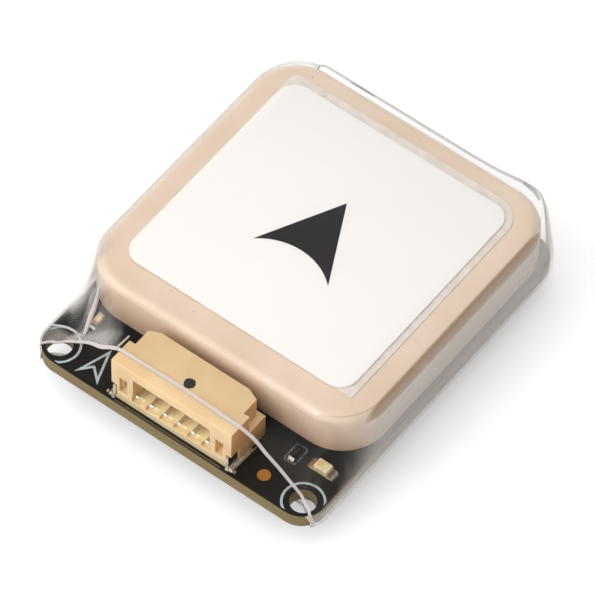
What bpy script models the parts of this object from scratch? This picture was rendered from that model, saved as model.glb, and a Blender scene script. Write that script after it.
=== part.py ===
"""Satellite receiver module: a ceramic patch antenna on a small circuit board, in a clear sleeve.

Sizes are in metres. The pieces are placed in the board's own frame: X runs along the
connector edge, Y from the connector edge to the rear, Z up, and z = 0 is the board's
underside. An empty carries that frame, so that the module stands on z = 0.
"""

import math

import bmesh
import bpy
from mathutils import Matrix

MM = 0.001

# Clearances between pieces
SEAT_GAP = 0.02 * MM
SIDE_GAP = 0.03 * MM
SLEEVE_GAP = 0.04 * MM

# Antenna
CERAMIC_SIDE = 25.0 * MM
CERAMIC_HEIGHT = 4.0 * MM
CERAMIC_CORNER = 3.8 * MM
CERAMIC_TOP_ROUNDING = 0.8 * MM
CERAMIC_FOOT_ROUNDING = 0.2 * MM
ANTENNA_REAR_INSET = 0.3 * MM
FOAM_INSET = 0.7 * MM
FOAM_HEIGHT = 0.9 * MM
GROUND_PLATE_INSET = 0.3 * MM
GROUND_PLATE_HEIGHT = 0.06 * MM
ELECTRODE_INSET = 2.125 * MM
ELECTRODE_HEIGHT = 0.05 * MM
ELECTRODE_CORNER_CUT = 1.3 * MM
ELECTRODE_REAR_SHIFT = 0.4 * MM
LABEL_INSET = 0.325 * MM
LABEL_HEIGHT = 0.15 * MM
LABEL_CORNER = 1.8 * MM
LABEL_LEFT_SHIFT = 0.2 * MM

# Feed pin
FEED_OFFSET = 2.0 * MM
FEED_PIN_DIAMETER = 0.9 * MM
FEED_HEAD_DIAMETER = 2.0 * MM
FEED_PIN_TAIL = 0.45 * MM
FEED_HOLE_CLEARANCE = 0.15 * MM
FEED_SOLDER_DIAMETER = 2.0 * MM
FEED_SOLDER_HEIGHT = 0.35 * MM
FEED_SOLDER_RIM = 0.07 * MM
FEED_SOLDER_SHOULDER = 0.17 * MM
FEED_KEEP_CLEAR = 1.5 * MM

# Connector
WAYS = 6
PITCH = 1.25 * MM
HOUSING_END_WIDTH = 2.25 * MM
HOUSING_DEPTH = 4.0 * MM
HOUSING_HEIGHT = 4.23 * MM
HOUSING_SETBACK = 0.43 * MM
HOUSING_TO_ANTENNA = 0.77 * MM
HOUSING_REAR_WALL = 0.8 * MM
HOUSING_FLOOR = 0.93 * MM
HOUSING_ROOF = 0.95 * MM
HOUSING_STANDOFF = 0.14 * MM
STANDOFF_RAIL = 0.92 * MM
MOUTH_MARGIN = 1.93 * MM
KEYWAY_OUTER = 0.72 * MM
KEYWAY_WIDTH = 0.7 * MM
KEYWAY_HEIGHT = 1.7 * MM
KEY_RIB_DEPTH = 0.5 * MM
LIP_NOTCH_WIDTH = 0.84 * MM
LIP_NOTCH_DEPTH = 0.3 * MM
LIP_NOTCH_LENGTH = 0.5 * MM
SHOULDER_DROP = 2.0 * MM
SHOULDER_WIDTH = 0.52 * MM
SHOULDER_LENGTH = 1.9 * MM
SHOULDER_CHAMFER_X = 0.9 * MM
SHOULDER_CHAMFER_Y = 0.4 * MM
CONTACT_WIDTH = 0.32 * MM
CONTACT_THICKNESS = 0.3 * MM
CONTACT_HEIGHT = 1.28 * MM
CONTACT_TIP_INSET = 0.1 * MM
CONTACT_FOOT_HEIGHT = 0.2 * MM
CONTACT_FOOT_REACH = 0.75 * MM
CONTACT_WALL_INSET = 0.12 * MM
TAB_POCKET_DEPTH = 0.45 * MM
TAB_POCKET_HEIGHT = 1.53 * MM
TAB_POCKET_LENGTH = 2.42 * MM
TAB_THICKNESS = 0.24 * MM
TAB_FOOT_WIDTH = 0.9 * MM
TAB_FOOT_HEIGHT = 0.2 * MM
TAB_HEIGHT = 1.38 * MM
TAB_REAR_INSET = 0.1 * MM
TAB_FRONT_REACH = 0.08 * MM

# Circuit board
BOARD_SIDE_MARGIN = 0.0 * MM
BOARD_THICKNESS = 1.2 * MM
BOARD_CORNER = 2.0 * MM
MOUNTING_HOLE_DIAMETER = 2.0 * MM
MOUNTING_HOLE_INSET = 1.5 * MM

# Chip parts: length, width and height of the two stock sizes, and of the LED
CAPACITOR_LENGTH = 1.0 * MM
CAPACITOR_WIDTH = 0.5 * MM
CAPACITOR_HEIGHT = 0.5 * MM
RESISTOR_LENGTH = 1.0 * MM
RESISTOR_WIDTH = 0.5 * MM
RESISTOR_HEIGHT = 0.35 * MM
END_CAP_LENGTH = 0.22 * MM
END_CAP_PROUD = 0.02 * MM
LED_LENGTH = 1.8 * MM
LED_WIDTH = 0.85 * MM
LED_BASE_HEIGHT = 0.2 * MM
LED_LENS_LENGTH = 1.15 * MM
LED_LENS_HEIGHT = 0.38 * MM
LED_LENS_ROUNDING = 0.08 * MM
LED_EDGE_INSET = 2.0 * MM
FRONT_PART_CLEARANCE = 0.3 * MM
LED_RESISTOR_EDGE_INSET = 4.35 * MM
FRONT_CAPACITOR_EDGE_INSET = 2.45 * MM
FRONT_CAPACITOR_TUCK = 0.35 * MM

# Receiver on the underside
RECEIVER_WIDTH = 9.7 * MM
RECEIVER_LENGTH = 10.1 * MM
RECEIVER_BOARD_HEIGHT = 0.6 * MM
SHIELD_INSET = 0.35 * MM
SHIELD_HEIGHT = 1.8 * MM
SHIELD_WALL = 0.15 * MM
SHIELD_CORNER = 0.6 * MM
RECEIVER_CHIP_SIDE = 4.5 * MM
RECEIVER_CHIP_HEIGHT = 0.8 * MM
CRYSTAL_LENGTH = 2.0 * MM
CRYSTAL_WIDTH = 1.6 * MM
CRYSTAL_HEIGHT = 0.7 * MM
FILTER_LENGTH = 1.4 * MM
FILTER_WIDTH = 1.1 * MM
FILTER_HEIGHT = 0.5 * MM
CHIP_SPACING = 0.6 * MM

# Other parts on the underside
CELL_DIAMETER = 6.8 * MM
CELL_HEIGHT = 1.9 * MM
CELL_RIM_STEP = 0.35 * MM
CELL_RIM_HEIGHT = 0.5 * MM
CELL_EDGE_CHAMFER = 0.1 * MM
CELL_LEFT_SHIFT = 2.0 * MM
CELL_TAB_THICKNESS = 0.15 * MM
CELL_TAB_WIDTH = 2.4 * MM
CELL_TAB_FOOT = 1.1 * MM
CELL_TAB_CLEARANCE = 0.2 * MM
COMPASS_SIDE = 3.0 * MM
COMPASS_HEIGHT = 0.9 * MM
COMPASS_EDGE_INSET = 4.6 * MM
COMPASS_TO_CELL = 0.3 * MM
REGULATOR_LENGTH = 2.9 * MM
REGULATOR_WIDTH = 1.6 * MM
REGULATOR_HEIGHT = 0.9 * MM
REGULATOR_STANDOFF = 0.1 * MM
REGULATOR_EDGE_INSET = 5.8 * MM
REGULATOR_TO_CELL = 0.1 * MM
LEAD_WIDTH = 0.4 * MM
LEAD_THICKNESS = 0.15 * MM
LEAD_STANDOUT = 0.1 * MM
LEAD_REACH = 0.6 * MM
LEAD_SPACING = 0.95 * MM
PASSIVE_SPACING = 1.7 * MM
PASSIVE_CLEARANCE = 0.9 * MM

# Sleeve
SLEEVE_WALL = 0.1 * MM
SLEEVE_FRONT_SETBACK = 1.25 * MM
SLEEVE_REAR_REACH = 0.25 * MM
SLEEVE_FOOT_INSET = 2.1 * MM
SLEEVE_FOOT_LENGTH = 0.8 * MM
SLEEVE_TENT_CLEARANCE = 0.12 * MM
SLEEVE_CORNER_SLACK = 0.35 * MM
SLEEVE_REAR_SLACK = 0.75 * MM
SLEEVE_REAR_DROP = 0.2 * MM
SLEEVE_REAR_RISE = 1.7 * MM
SLEEVE_REAR_SPREAD = 1.7 * MM
SLEEVE_LABEL_MARGIN = 0.3 * MM
SLEEVE_FLAT_SHARE = 0.85
SLEEVE_FLARE_SHARE = 0.35
SLEEVE_BELLY_MARGIN = 0.7 * MM
SLEEVE_BELLY_START_INSET = 1.5 * MM
SLEEVE_EDGE_ROUNDING = 0.45 * MM
SLEEVE_LOWER_ROUNDING = 0.15 * MM

# Sizes and places that follow from the ones above
BOARD_WIDTH = CERAMIC_SIDE + 2 * BOARD_SIDE_MARGIN
ELECTRODE_SIDE = CERAMIC_SIDE - 2 * ELECTRODE_INSET
LABEL_SIDE = ELECTRODE_SIDE - 2 * LABEL_INSET
BOARD_LENGTH = HOUSING_SETBACK + HOUSING_DEPTH + HOUSING_TO_ANTENNA + CERAMIC_SIDE + ANTENNA_REAR_INSET
BOARD_FRONT = -BOARD_LENGTH / 2
BOARD_REAR = BOARD_LENGTH / 2
ANTENNA_Y = BOARD_REAR - ANTENNA_REAR_INSET - CERAMIC_SIDE / 2
ANTENNA_FRONT = ANTENNA_Y - CERAMIC_SIDE / 2
ANTENNA_REAR = ANTENNA_Y + CERAMIC_SIDE / 2
BOARD_SEAT = BOARD_THICKNESS + SEAT_GAP
FOAM_TOP = BOARD_SEAT + FOAM_HEIGHT
GROUND_PLATE_TOP = FOAM_TOP + SEAT_GAP + GROUND_PLATE_HEIGHT
CERAMIC_BOTTOM = GROUND_PLATE_TOP + SEAT_GAP
CERAMIC_TOP = CERAMIC_BOTTOM + CERAMIC_HEIGHT
ELECTRODE_TOP = CERAMIC_TOP + SEAT_GAP + ELECTRODE_HEIGHT
LABEL_TOP = ELECTRODE_TOP + SEAT_GAP + LABEL_HEIGHT
ELECTRODE_Y = ANTENNA_Y + ELECTRODE_REAR_SHIFT
FEED_Y = ANTENNA_Y - FEED_OFFSET
FEED_HOLE_DIAMETER = FEED_PIN_DIAMETER + 2 * FEED_HOLE_CLEARANCE
HOUSING_FRONT = BOARD_FRONT + HOUSING_SETBACK
HOUSING_REAR = HOUSING_FRONT + HOUSING_DEPTH
HOUSING_HALF = (WAYS - 1) * PITCH / 2 + HOUSING_END_WIDTH
HOUSING_TOP = BOARD_SEAT + HOUSING_HEIGHT
CAVITY_FLOOR = BOARD_SEAT + HOUSING_FLOOR
CAVITY_ROOF = HOUSING_TOP - HOUSING_ROOF
CAVITY_REAR = HOUSING_REAR - HOUSING_REAR_WALL
UNDERSIDE = -SEAT_GAP
RECEIVER_FRONT = FEED_Y + FEED_KEEP_CLEAR
RECEIVER_Y = RECEIVER_FRONT + RECEIVER_LENGTH / 2
RECEIVER_DEPTH = SEAT_GAP + RECEIVER_BOARD_HEIGHT + SEAT_GAP + SHIELD_HEIGHT
CELL_X = -CELL_LEFT_SHIFT
CELL_Y = FEED_Y - FEED_KEEP_CLEAR - CELL_DIAMETER / 2
CELL_FRONT = CELL_Y - CELL_DIAMETER / 2
CELL_TOP = UNDERSIDE - CELL_TAB_THICKNESS - SEAT_GAP
CELL_DEPTH = -CELL_TOP + CELL_HEIGHT + SEAT_GAP + CELL_TAB_THICKNESS
LABEL_FRONT = ANTENNA_Y - LABEL_SIDE / 2 - SLEEVE_LABEL_MARGIN
LABEL_REAR = ANTENNA_Y + LABEL_SIDE / 2 + SLEEVE_LABEL_MARGIN
SLEEVE_DEPTH = max(RECEIVER_DEPTH, CELL_DEPTH) + SLEEVE_GAP
SLEEVE_FRONT = BOARD_FRONT + SLEEVE_FRONT_SETBACK
SLEEVE_REAR = BOARD_REAR + SLEEVE_REAR_REACH
SLEEVE_SIDE = max(BOARD_WIDTH, CERAMIC_SIDE) / 2 + SLEEVE_GAP

# The empty's place: centred on the overall box, standing on the sleeve's belly
FRAME_Y = -(BOARD_FRONT + SLEEVE_REAR) / 2
FRAME_Z = SLEEVE_DEPTH + SLEEVE_WALL

CORNER_STEPS = 8
ROUND_STEPS = 32
SMALL_ROUND_STEPS = 16
SMOOTH_ANGLE = math.radians(35)
STATION_SPACING = 0.1 * MM
ABOVE = 2.0 * MM


def clear_scene():
    for item in list(bpy.data.objects):
        bpy.data.objects.remove(item, do_unlink=True)


def make_frame():
    frame = bpy.data.objects.new("module_frame", None)
    frame.location = (0, FRAME_Y, FRAME_Z)
    bpy.context.scene.collection.objects.link(frame)
    return frame


def material(name, colour, roughness, metallic=0.0, alpha=1.0):
    made = bpy.data.materials.new(name)
    made.use_nodes = True
    shader = made.node_tree.nodes["Principled BSDF"]
    shader.inputs["Base Color"].default_value = (*colour, 1.0)
    shader.inputs["Roughness"].default_value = roughness
    shader.inputs["Metallic"].default_value = metallic
    shader.inputs["Alpha"].default_value = alpha
    return made


def add_part(name, bm, frame, finish=None):
    """Turns a bmesh in the board's frame into a named object carried by the frame."""
    bmesh.ops.recalc_face_normals(bm, faces=bm.faces)
    if bm.calc_volume(signed=True) < 0:
        bmesh.ops.reverse_faces(bm, faces=bm.faces)
    mesh = bpy.data.meshes.new(name)
    bm.to_mesh(mesh)
    bm.free()
    mesh.shade_smooth()
    mesh.set_sharp_from_angle(angle=SMOOTH_ANGLE)
    if finish:
        mesh.materials.append(finish)
    part = bpy.data.objects.new(name, mesh)
    part.parent = frame
    bpy.context.scene.collection.objects.link(part)
    return part


def combine(part, name, bm, frame, operation="DIFFERENCE"):
    """Cuts a hidden shape out of a part, or fuses it on."""
    helper = add_part(name, bm, frame)
    helper.hide_render = True
    helper.display_type = "WIRE"
    modifier = part.modifiers.new(name, "BOOLEAN")
    modifier.operation = operation
    modifier.solver = "EXACT"
    modifier.object = helper


def box(bm, low, high):
    """Adds a box between two corners."""
    size = [b - a for a, b in zip(low, high)]
    middle = [(a + b) / 2 for a, b in zip(low, high)]
    place = Matrix.Translation(middle) @ Matrix.Diagonal((*size, 1.0))
    bmesh.ops.create_cube(bm, size=1.0, matrix=place)


def boxes(corners):
    bm = bmesh.new()
    for low, high in corners:
        box(bm, low, high)
    return bm


def cylinder(x, y, low, high, diameter, steps=ROUND_STEPS):
    bm = bmesh.new()
    place = Matrix.Translation((x, y, (low + high) / 2))
    bmesh.ops.create_cone(
        bm, cap_ends=True, segments=steps, radius1=diameter / 2, radius2=diameter / 2,
        depth=high - low, matrix=place,
    )
    return bm


def rounded_square(width, length, radius, x=0.0, y=0.0):
    """The outline of a rectangle with round corners, as points in turning order."""
    points = []
    for quarter in range(4):
        side_x = 1 if quarter in (0, 3) else -1
        side_y = 1 if quarter in (0, 1) else -1
        for step in range(CORNER_STEPS + 1):
            angle = math.radians(90 * quarter + 90 * step / CORNER_STEPS)
            points.append((
                x + side_x * (width / 2 - radius) + radius * math.cos(angle),
                y + side_y * (length / 2 - radius) + radius * math.sin(angle),
            ))
    return points


def prism(outline, low, high):
    """A flat outline in X and Y, extruded up from low to high."""
    bm = bmesh.new()
    floor = bm.faces.new([bm.verts.new((x, y, low)) for x, y in outline])
    grown = bmesh.ops.extrude_face_region(bm, geom=[floor])
    top = [item for item in grown["geom"] if isinstance(item, bmesh.types.BMVert)]
    bmesh.ops.translate(bm, vec=(0, 0, high - low), verts=top)
    return bm


def round_level_edges(bm, level, radius, steps):
    """Rounds the edges that lie flat at one height."""
    edges = [
        edge for edge in bm.edges
        if all(abs(vert.co.z - level) < 0.001 * MM for vert in edge.verts)
    ]
    bmesh.ops.bevel(
        bm, geom=edges, offset=radius, segments=steps, profile=0.5, affect="EDGES",
        clamp_overlap=True, material=-1,
    )


def profile_along_x(outline, low, high):
    """An outline in Y and Z, extruded along X from low to high."""
    bm = prism([(y, z) for y, z in outline], low, high)
    turn = Matrix(((0, 0, 1, 0), (1, 0, 0, 0), (0, 1, 0, 0), (0, 0, 0, 1)))
    bmesh.ops.transform(bm, matrix=turn, verts=bm.verts)
    return bm


def profile_along_y(outline, low, high):
    """An outline in X and Z, extruded along Y from low to high."""
    bm = prism([(x, z) for x, z in outline], low, high)
    turn = Matrix(((1, 0, 0, 0), (0, 0, 1, 0), (0, 1, 0, 0), (0, 0, 0, 1)))
    bmesh.ops.transform(bm, matrix=turn, verts=bm.verts)
    return bm


def turned(profile, x, y, steps=ROUND_STEPS):
    """A closed shape spun about the upright line through x and y, from radius and height pairs."""
    bm = bmesh.new()
    verts = [bm.verts.new((radius, 0, height)) for radius, height in profile]
    edges = [bm.edges.new(pair) for pair in zip(verts, verts[1:])]
    if profile[0][0] > 0:
        edges.append(bm.edges.new((verts[-1], verts[0])))
    bmesh.ops.spin(
        bm, geom=verts + edges, cent=(0, 0, 0), axis=(0, 0, 1), angle=2 * math.pi,
        steps=steps, use_merge=True,
    )
    bmesh.ops.remove_doubles(bm, verts=bm.verts, dist=0.0005 * MM)
    bmesh.ops.translate(bm, vec=(x, y, 0), verts=bm.verts)
    return bm


def skin(bm, loops, close_ends):
    """Joins closed loops of as many points each, one after another, with four-sided faces."""
    rings = [[bm.verts.new(point) for point in loop] for loop in loops]
    for first, second in zip(rings, rings[1:]):
        for a, b, c, d in zip(first, first[1:] + first[:1], second[1:] + second[:1], second):
            bm.faces.new((a, b, c, d))
    if close_ends:
        bm.faces.new(rings[0])
        bm.faces.new(rings[-1])


def chip_part(x, y, length, width, height, along_y, above):
    """A chip resistor or capacitor: a bar whose metal ends stand slightly proud."""
    low = BOARD_SEAT if above else UNDERSIDE - height
    half = length / 2
    shoulder = half - END_CAP_LENGTH
    bm = bmesh.new()
    sections = []
    for place, proud in ((-half, 1), (-shoulder, 1), (-shoulder, 0), (shoulder, 0), (shoulder, 1), (half, 1)):
        trim = 0 if proud else END_CAP_PROUD
        corners = (
            (-width / 2 + trim, low + trim), (width / 2 - trim, low + trim),
            (width / 2 - trim, low + height - trim), (-width / 2 + trim, low + height - trim),
        )
        if along_y:
            sections.append([(x + across, y + place, z) for across, z in corners])
        else:
            sections.append([(x + place, y + across, z) for across, z in corners])
    skin(bm, sections, close_ends=True)
    return bm


def slab(x, y, width, length, low, high):
    """A plain block centred on x and y."""
    return boxes([((x - width / 2, y - length / 2, low), (x + width / 2, y + length / 2, high))])


def build_board(frame, finish):
    outline = rounded_square(BOARD_WIDTH, BOARD_LENGTH, BOARD_CORNER)
    board = add_part("circuit_board", prism(outline, 0, BOARD_THICKNESS), frame, finish)
    hole_x = BOARD_WIDTH / 2 - MOUNTING_HOLE_INSET
    hole_y = BOARD_FRONT + MOUNTING_HOLE_INSET
    for side, x in (("left", -hole_x), ("right", hole_x)):
        drill = cylinder(x, hole_y, -ABOVE, BOARD_THICKNESS + ABOVE, MOUNTING_HOLE_DIAMETER)
        combine(board, f"mounting_hole_{side}", drill, frame)
    drill = cylinder(0, FEED_Y, -ABOVE, BOARD_THICKNESS + ABOVE, FEED_HOLE_DIAMETER, SMALL_ROUND_STEPS)
    combine(board, "board_feed_hole", drill, frame)


def build_antenna(frame, foam, silver, ceramic):
    layers = (
        ("antenna_foam_tape", foam, FOAM_INSET, BOARD_SEAT, FOAM_TOP),
        ("antenna_ground_plate", silver, GROUND_PLATE_INSET, FOAM_TOP + SEAT_GAP, GROUND_PLATE_TOP),
    )
    for name, finish, inset, low, high in layers:
        side = CERAMIC_SIDE - 2 * inset
        outline = rounded_square(side, side, CERAMIC_CORNER - inset, 0, ANTENNA_Y)
        sheet = add_part(name, prism(outline, low, high), frame, finish)
        drill = cylinder(0, FEED_Y, low - ABOVE, high + ABOVE, FEED_HEAD_DIAMETER, SMALL_ROUND_STEPS)
        combine(sheet, f"{name}_hole", drill, frame)
    outline = rounded_square(CERAMIC_SIDE, CERAMIC_SIDE, CERAMIC_CORNER, 0, ANTENNA_Y)
    block = prism(outline, CERAMIC_BOTTOM, CERAMIC_TOP)
    round_level_edges(block, CERAMIC_TOP, CERAMIC_TOP_ROUNDING, 4)
    round_level_edges(block, CERAMIC_BOTTOM, CERAMIC_FOOT_ROUNDING, 2)
    block = add_part("antenna_ceramic", block, frame, ceramic)
    drill = cylinder(
        0, FEED_Y, CERAMIC_BOTTOM - ABOVE, CERAMIC_TOP + ABOVE, FEED_HOLE_DIAMETER, SMALL_ROUND_STEPS
    )
    combine(block, "ceramic_feed_hole", drill, frame)


def build_electrode(frame, silver):
    """The top silver layer, with two opposite corners cut and a round opening for the pin's head."""
    half = ELECTRODE_SIDE / 2
    cut = ELECTRODE_CORNER_CUT
    outline = (
        (-half + cut, -half), (half, -half), (half, half - cut),
        (half - cut, half), (-half, half), (-half, -half + cut),
    )
    outline = [(x, y + ELECTRODE_Y) for x, y in outline]
    layer = prism(outline, CERAMIC_TOP + SEAT_GAP, ELECTRODE_TOP)
    layer = add_part("antenna_electrode", layer, frame, silver)
    opening = FEED_HEAD_DIAMETER + 2 * SIDE_GAP
    drill = cylinder(0, FEED_Y, CERAMIC_TOP - ABOVE, ELECTRODE_TOP + ABOVE, opening)
    combine(layer, "electrode_opening", drill, frame)


def build_feed(frame, tinned, solder):
    shaft = FEED_PIN_DIAMETER / 2
    head = FEED_HEAD_DIAMETER / 2
    pin = (
        (0, ELECTRODE_TOP), (head, ELECTRODE_TOP), (head, CERAMIC_TOP + SEAT_GAP),
        (shaft, CERAMIC_TOP + SEAT_GAP), (shaft, -FEED_PIN_TAIL), (0, -FEED_PIN_TAIL),
    )
    add_part("antenna_feed_pin", turned(pin, 0, FEED_Y), frame, tinned)
    foot = FEED_SOLDER_DIAMETER / 2
    inner = shaft + SIDE_GAP
    joint = (
        (inner, UNDERSIDE), (foot, UNDERSIDE), (foot, UNDERSIDE - FEED_SOLDER_RIM),
        ((foot + inner) / 2, UNDERSIDE - FEED_SOLDER_SHOULDER), (inner, UNDERSIDE - FEED_SOLDER_HEIGHT),
    )
    add_part("feed_pin_solder", turned(joint, 0, FEED_Y), frame, solder)


def build_label(frame, paper):
    outline = rounded_square(LABEL_SIDE, LABEL_SIDE, LABEL_CORNER, -LABEL_LEFT_SHIFT, ANTENNA_Y)
    add_part("top_label", prism(outline, ELECTRODE_TOP + SEAT_GAP, LABEL_TOP), frame, paper)


def contact_places():
    return [(way - (WAYS - 1) / 2) * PITCH for way in range(WAYS)]


def build_housing(frame, cream):
    half = HOUSING_HALF
    shell = boxes([((-half, HOUSING_FRONT, BOARD_SEAT), (half, HOUSING_REAR, HOUSING_TOP))])
    shell = add_part("connector_housing", shell, frame, cream)
    before = HOUSING_FRONT - ABOVE
    after = HOUSING_REAR + ABOVE
    mouth = half - MOUTH_MARGIN
    combine(shell, "socket_mouth", boxes([
        ((-mouth, before, CAVITY_FLOOR), (mouth, CAVITY_REAR, CAVITY_ROOF)),
    ]), frame)
    key_outer = half - KEYWAY_OUTER
    key_inner = key_outer - KEYWAY_WIDTH
    key_top = CAVITY_FLOOR + KEYWAY_HEIGHT
    combine(shell, "socket_keyways", boxes([
        ((-key_outer, before, CAVITY_FLOOR), (-key_inner, CAVITY_REAR, key_top)),
        ((key_inner, before, CAVITY_FLOOR), (key_outer, CAVITY_REAR, key_top)),
    ]), frame)
    combine(shell, "socket_inner", boxes([
        ((-key_outer, HOUSING_FRONT + KEY_RIB_DEPTH, CAVITY_FLOOR), (key_outer, CAVITY_REAR, key_top)),
    ]), frame)
    combine(shell, "lip_notches", boxes([
        ((x - LIP_NOTCH_WIDTH / 2, before, CAVITY_FLOOR - LIP_NOTCH_DEPTH),
         (x + LIP_NOTCH_WIDTH / 2, HOUSING_FRONT + LIP_NOTCH_LENGTH, CAVITY_FLOOR + LIP_NOTCH_DEPTH))
        for x in contact_places()
    ]), frame)
    rail = half - STANDOFF_RAIL
    combine(shell, "standoff_recess", boxes([
        ((-rail, before, BOARD_THICKNESS - ABOVE), (rail, after, BOARD_SEAT + HOUSING_STANDOFF)),
    ]), frame)
    channel = CONTACT_WIDTH / 2 + SIDE_GAP
    channel_top = BOARD_SEAT + CONTACT_HEIGHT + CONTACT_THICKNESS / 2 + SIDE_GAP
    combine(shell, "contact_channels", boxes([
        ((x - channel, CAVITY_REAR - SIDE_GAP, BOARD_THICKNESS - ABOVE), (x + channel, after, channel_top))
        for x in contact_places()
    ]), frame)
    pocket = half - TAB_POCKET_DEPTH
    pocket_rear = HOUSING_FRONT + TAB_POCKET_LENGTH
    pocket_top = BOARD_SEAT + TAB_POCKET_HEIGHT
    combine(shell, "tab_pockets", boxes([
        ((-half - ABOVE, before, BOARD_THICKNESS - ABOVE), (-pocket, pocket_rear, pocket_top)),
        ((pocket, before, BOARD_THICKNESS - ABOVE), (half + ABOVE, pocket_rear, pocket_top)),
    ]), frame)
    waist = half - SHOULDER_WIDTH
    for side, name in ((-1, "left"), (1, "right")):
        outline = (
            (side * waist, HOUSING_REAR - SHOULDER_LENGTH),
            (side * (half + ABOVE), HOUSING_REAR - SHOULDER_LENGTH),
            (side * (half + ABOVE), after),
            (side * (waist - SHOULDER_CHAMFER_X), after),
            (side * (waist - SHOULDER_CHAMFER_X), HOUSING_REAR),
            (side * waist, HOUSING_REAR - SHOULDER_CHAMFER_Y),
        )
        cutter = prism(outline, HOUSING_TOP - SHOULDER_DROP, HOUSING_TOP + ABOVE)
        combine(shell, f"rear_shoulder_{name}", cutter, frame)


def build_contacts(frame, tinned):
    """Each contact is a pin in the socket, a leg in the rear wall and a foot on the board."""
    tip = HOUSING_FRONT + CONTACT_TIP_INSET
    leg_rear = HOUSING_REAR - CONTACT_WALL_INSET
    leg_front = leg_rear - CONTACT_THICKNESS
    foot_end = HOUSING_REAR + CONTACT_FOOT_REACH
    foot_top = BOARD_SEAT + CONTACT_FOOT_HEIGHT
    low = BOARD_SEAT + CONTACT_HEIGHT - CONTACT_THICKNESS / 2
    high = low + CONTACT_THICKNESS
    taper = CONTACT_THICKNESS / 4
    outline = (
        (tip, high - taper), (tip + taper, high), (leg_rear, high), (leg_rear, foot_top),
        (foot_end, foot_top), (foot_end, BOARD_SEAT), (leg_front, BOARD_SEAT),
        (leg_front, low), (tip + taper, low), (tip, low + taper),
    )
    for number, x in enumerate(contact_places(), start=1):
        bm = profile_along_x(outline, x - CONTACT_WIDTH / 2, x + CONTACT_WIDTH / 2)
        add_part(f"connector_contact_{number}", bm, frame, tinned)


def build_tabs(frame, tinned):
    inner = HOUSING_HALF - TAB_POCKET_DEPTH + SIDE_GAP
    outline = (
        (inner, BOARD_SEAT), (inner + TAB_FOOT_WIDTH, BOARD_SEAT),
        (inner + TAB_FOOT_WIDTH, BOARD_SEAT + TAB_FOOT_HEIGHT),
        (inner + TAB_THICKNESS, BOARD_SEAT + TAB_FOOT_HEIGHT),
        (inner + TAB_THICKNESS, BOARD_SEAT + TAB_HEIGHT), (inner, BOARD_SEAT + TAB_HEIGHT),
    )
    front = HOUSING_FRONT - TAB_FRONT_REACH
    rear = HOUSING_FRONT + TAB_POCKET_LENGTH - TAB_REAR_INSET
    for side, name in ((-1, "left"), (1, "right")):
        bm = profile_along_y([(side * x, z) for x, z in outline], front, rear)
        add_part(f"connector_tab_{name}", bm, frame, tinned)


def build_front_parts(frame, base, lens, resistor, capacitor):
    x = BOARD_WIDTH / 2 - LED_EDGE_INSET
    y = ANTENNA_FRONT - FRONT_PART_CLEARANCE - LED_WIDTH / 2
    top = BOARD_SEAT + LED_BASE_HEIGHT
    add_part("power_led_base", slab(x, y, LED_LENGTH, LED_WIDTH, BOARD_SEAT, top), frame, base)
    lens_low = top + SEAT_GAP
    lens_top = lens_low + LED_LENS_HEIGHT
    dome = slab(x, y, LED_LENS_LENGTH, LED_WIDTH, lens_low, lens_top)
    round_level_edges(dome, lens_top, LED_LENS_ROUNDING, 2)
    add_part("power_led_lens", dome, frame, lens)
    x = BOARD_WIDTH / 2 - LED_RESISTOR_EDGE_INSET
    y = ANTENNA_FRONT - FRONT_PART_CLEARANCE - RESISTOR_LENGTH / 2
    chip = chip_part(x, y, RESISTOR_LENGTH, RESISTOR_WIDTH, RESISTOR_HEIGHT, True, True)
    add_part("led_resistor", chip, frame, resistor)
    x = -BOARD_WIDTH / 2 + FRONT_CAPACITOR_EDGE_INSET
    y = ANTENNA_FRONT - FRONT_PART_CLEARANCE + FRONT_CAPACITOR_TUCK - CAPACITOR_LENGTH / 2
    chip = chip_part(x, y, CAPACITOR_LENGTH, CAPACITOR_WIDTH, CAPACITOR_HEIGHT, True, True)
    add_part("front_capacitor", chip, frame, capacitor)


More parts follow.
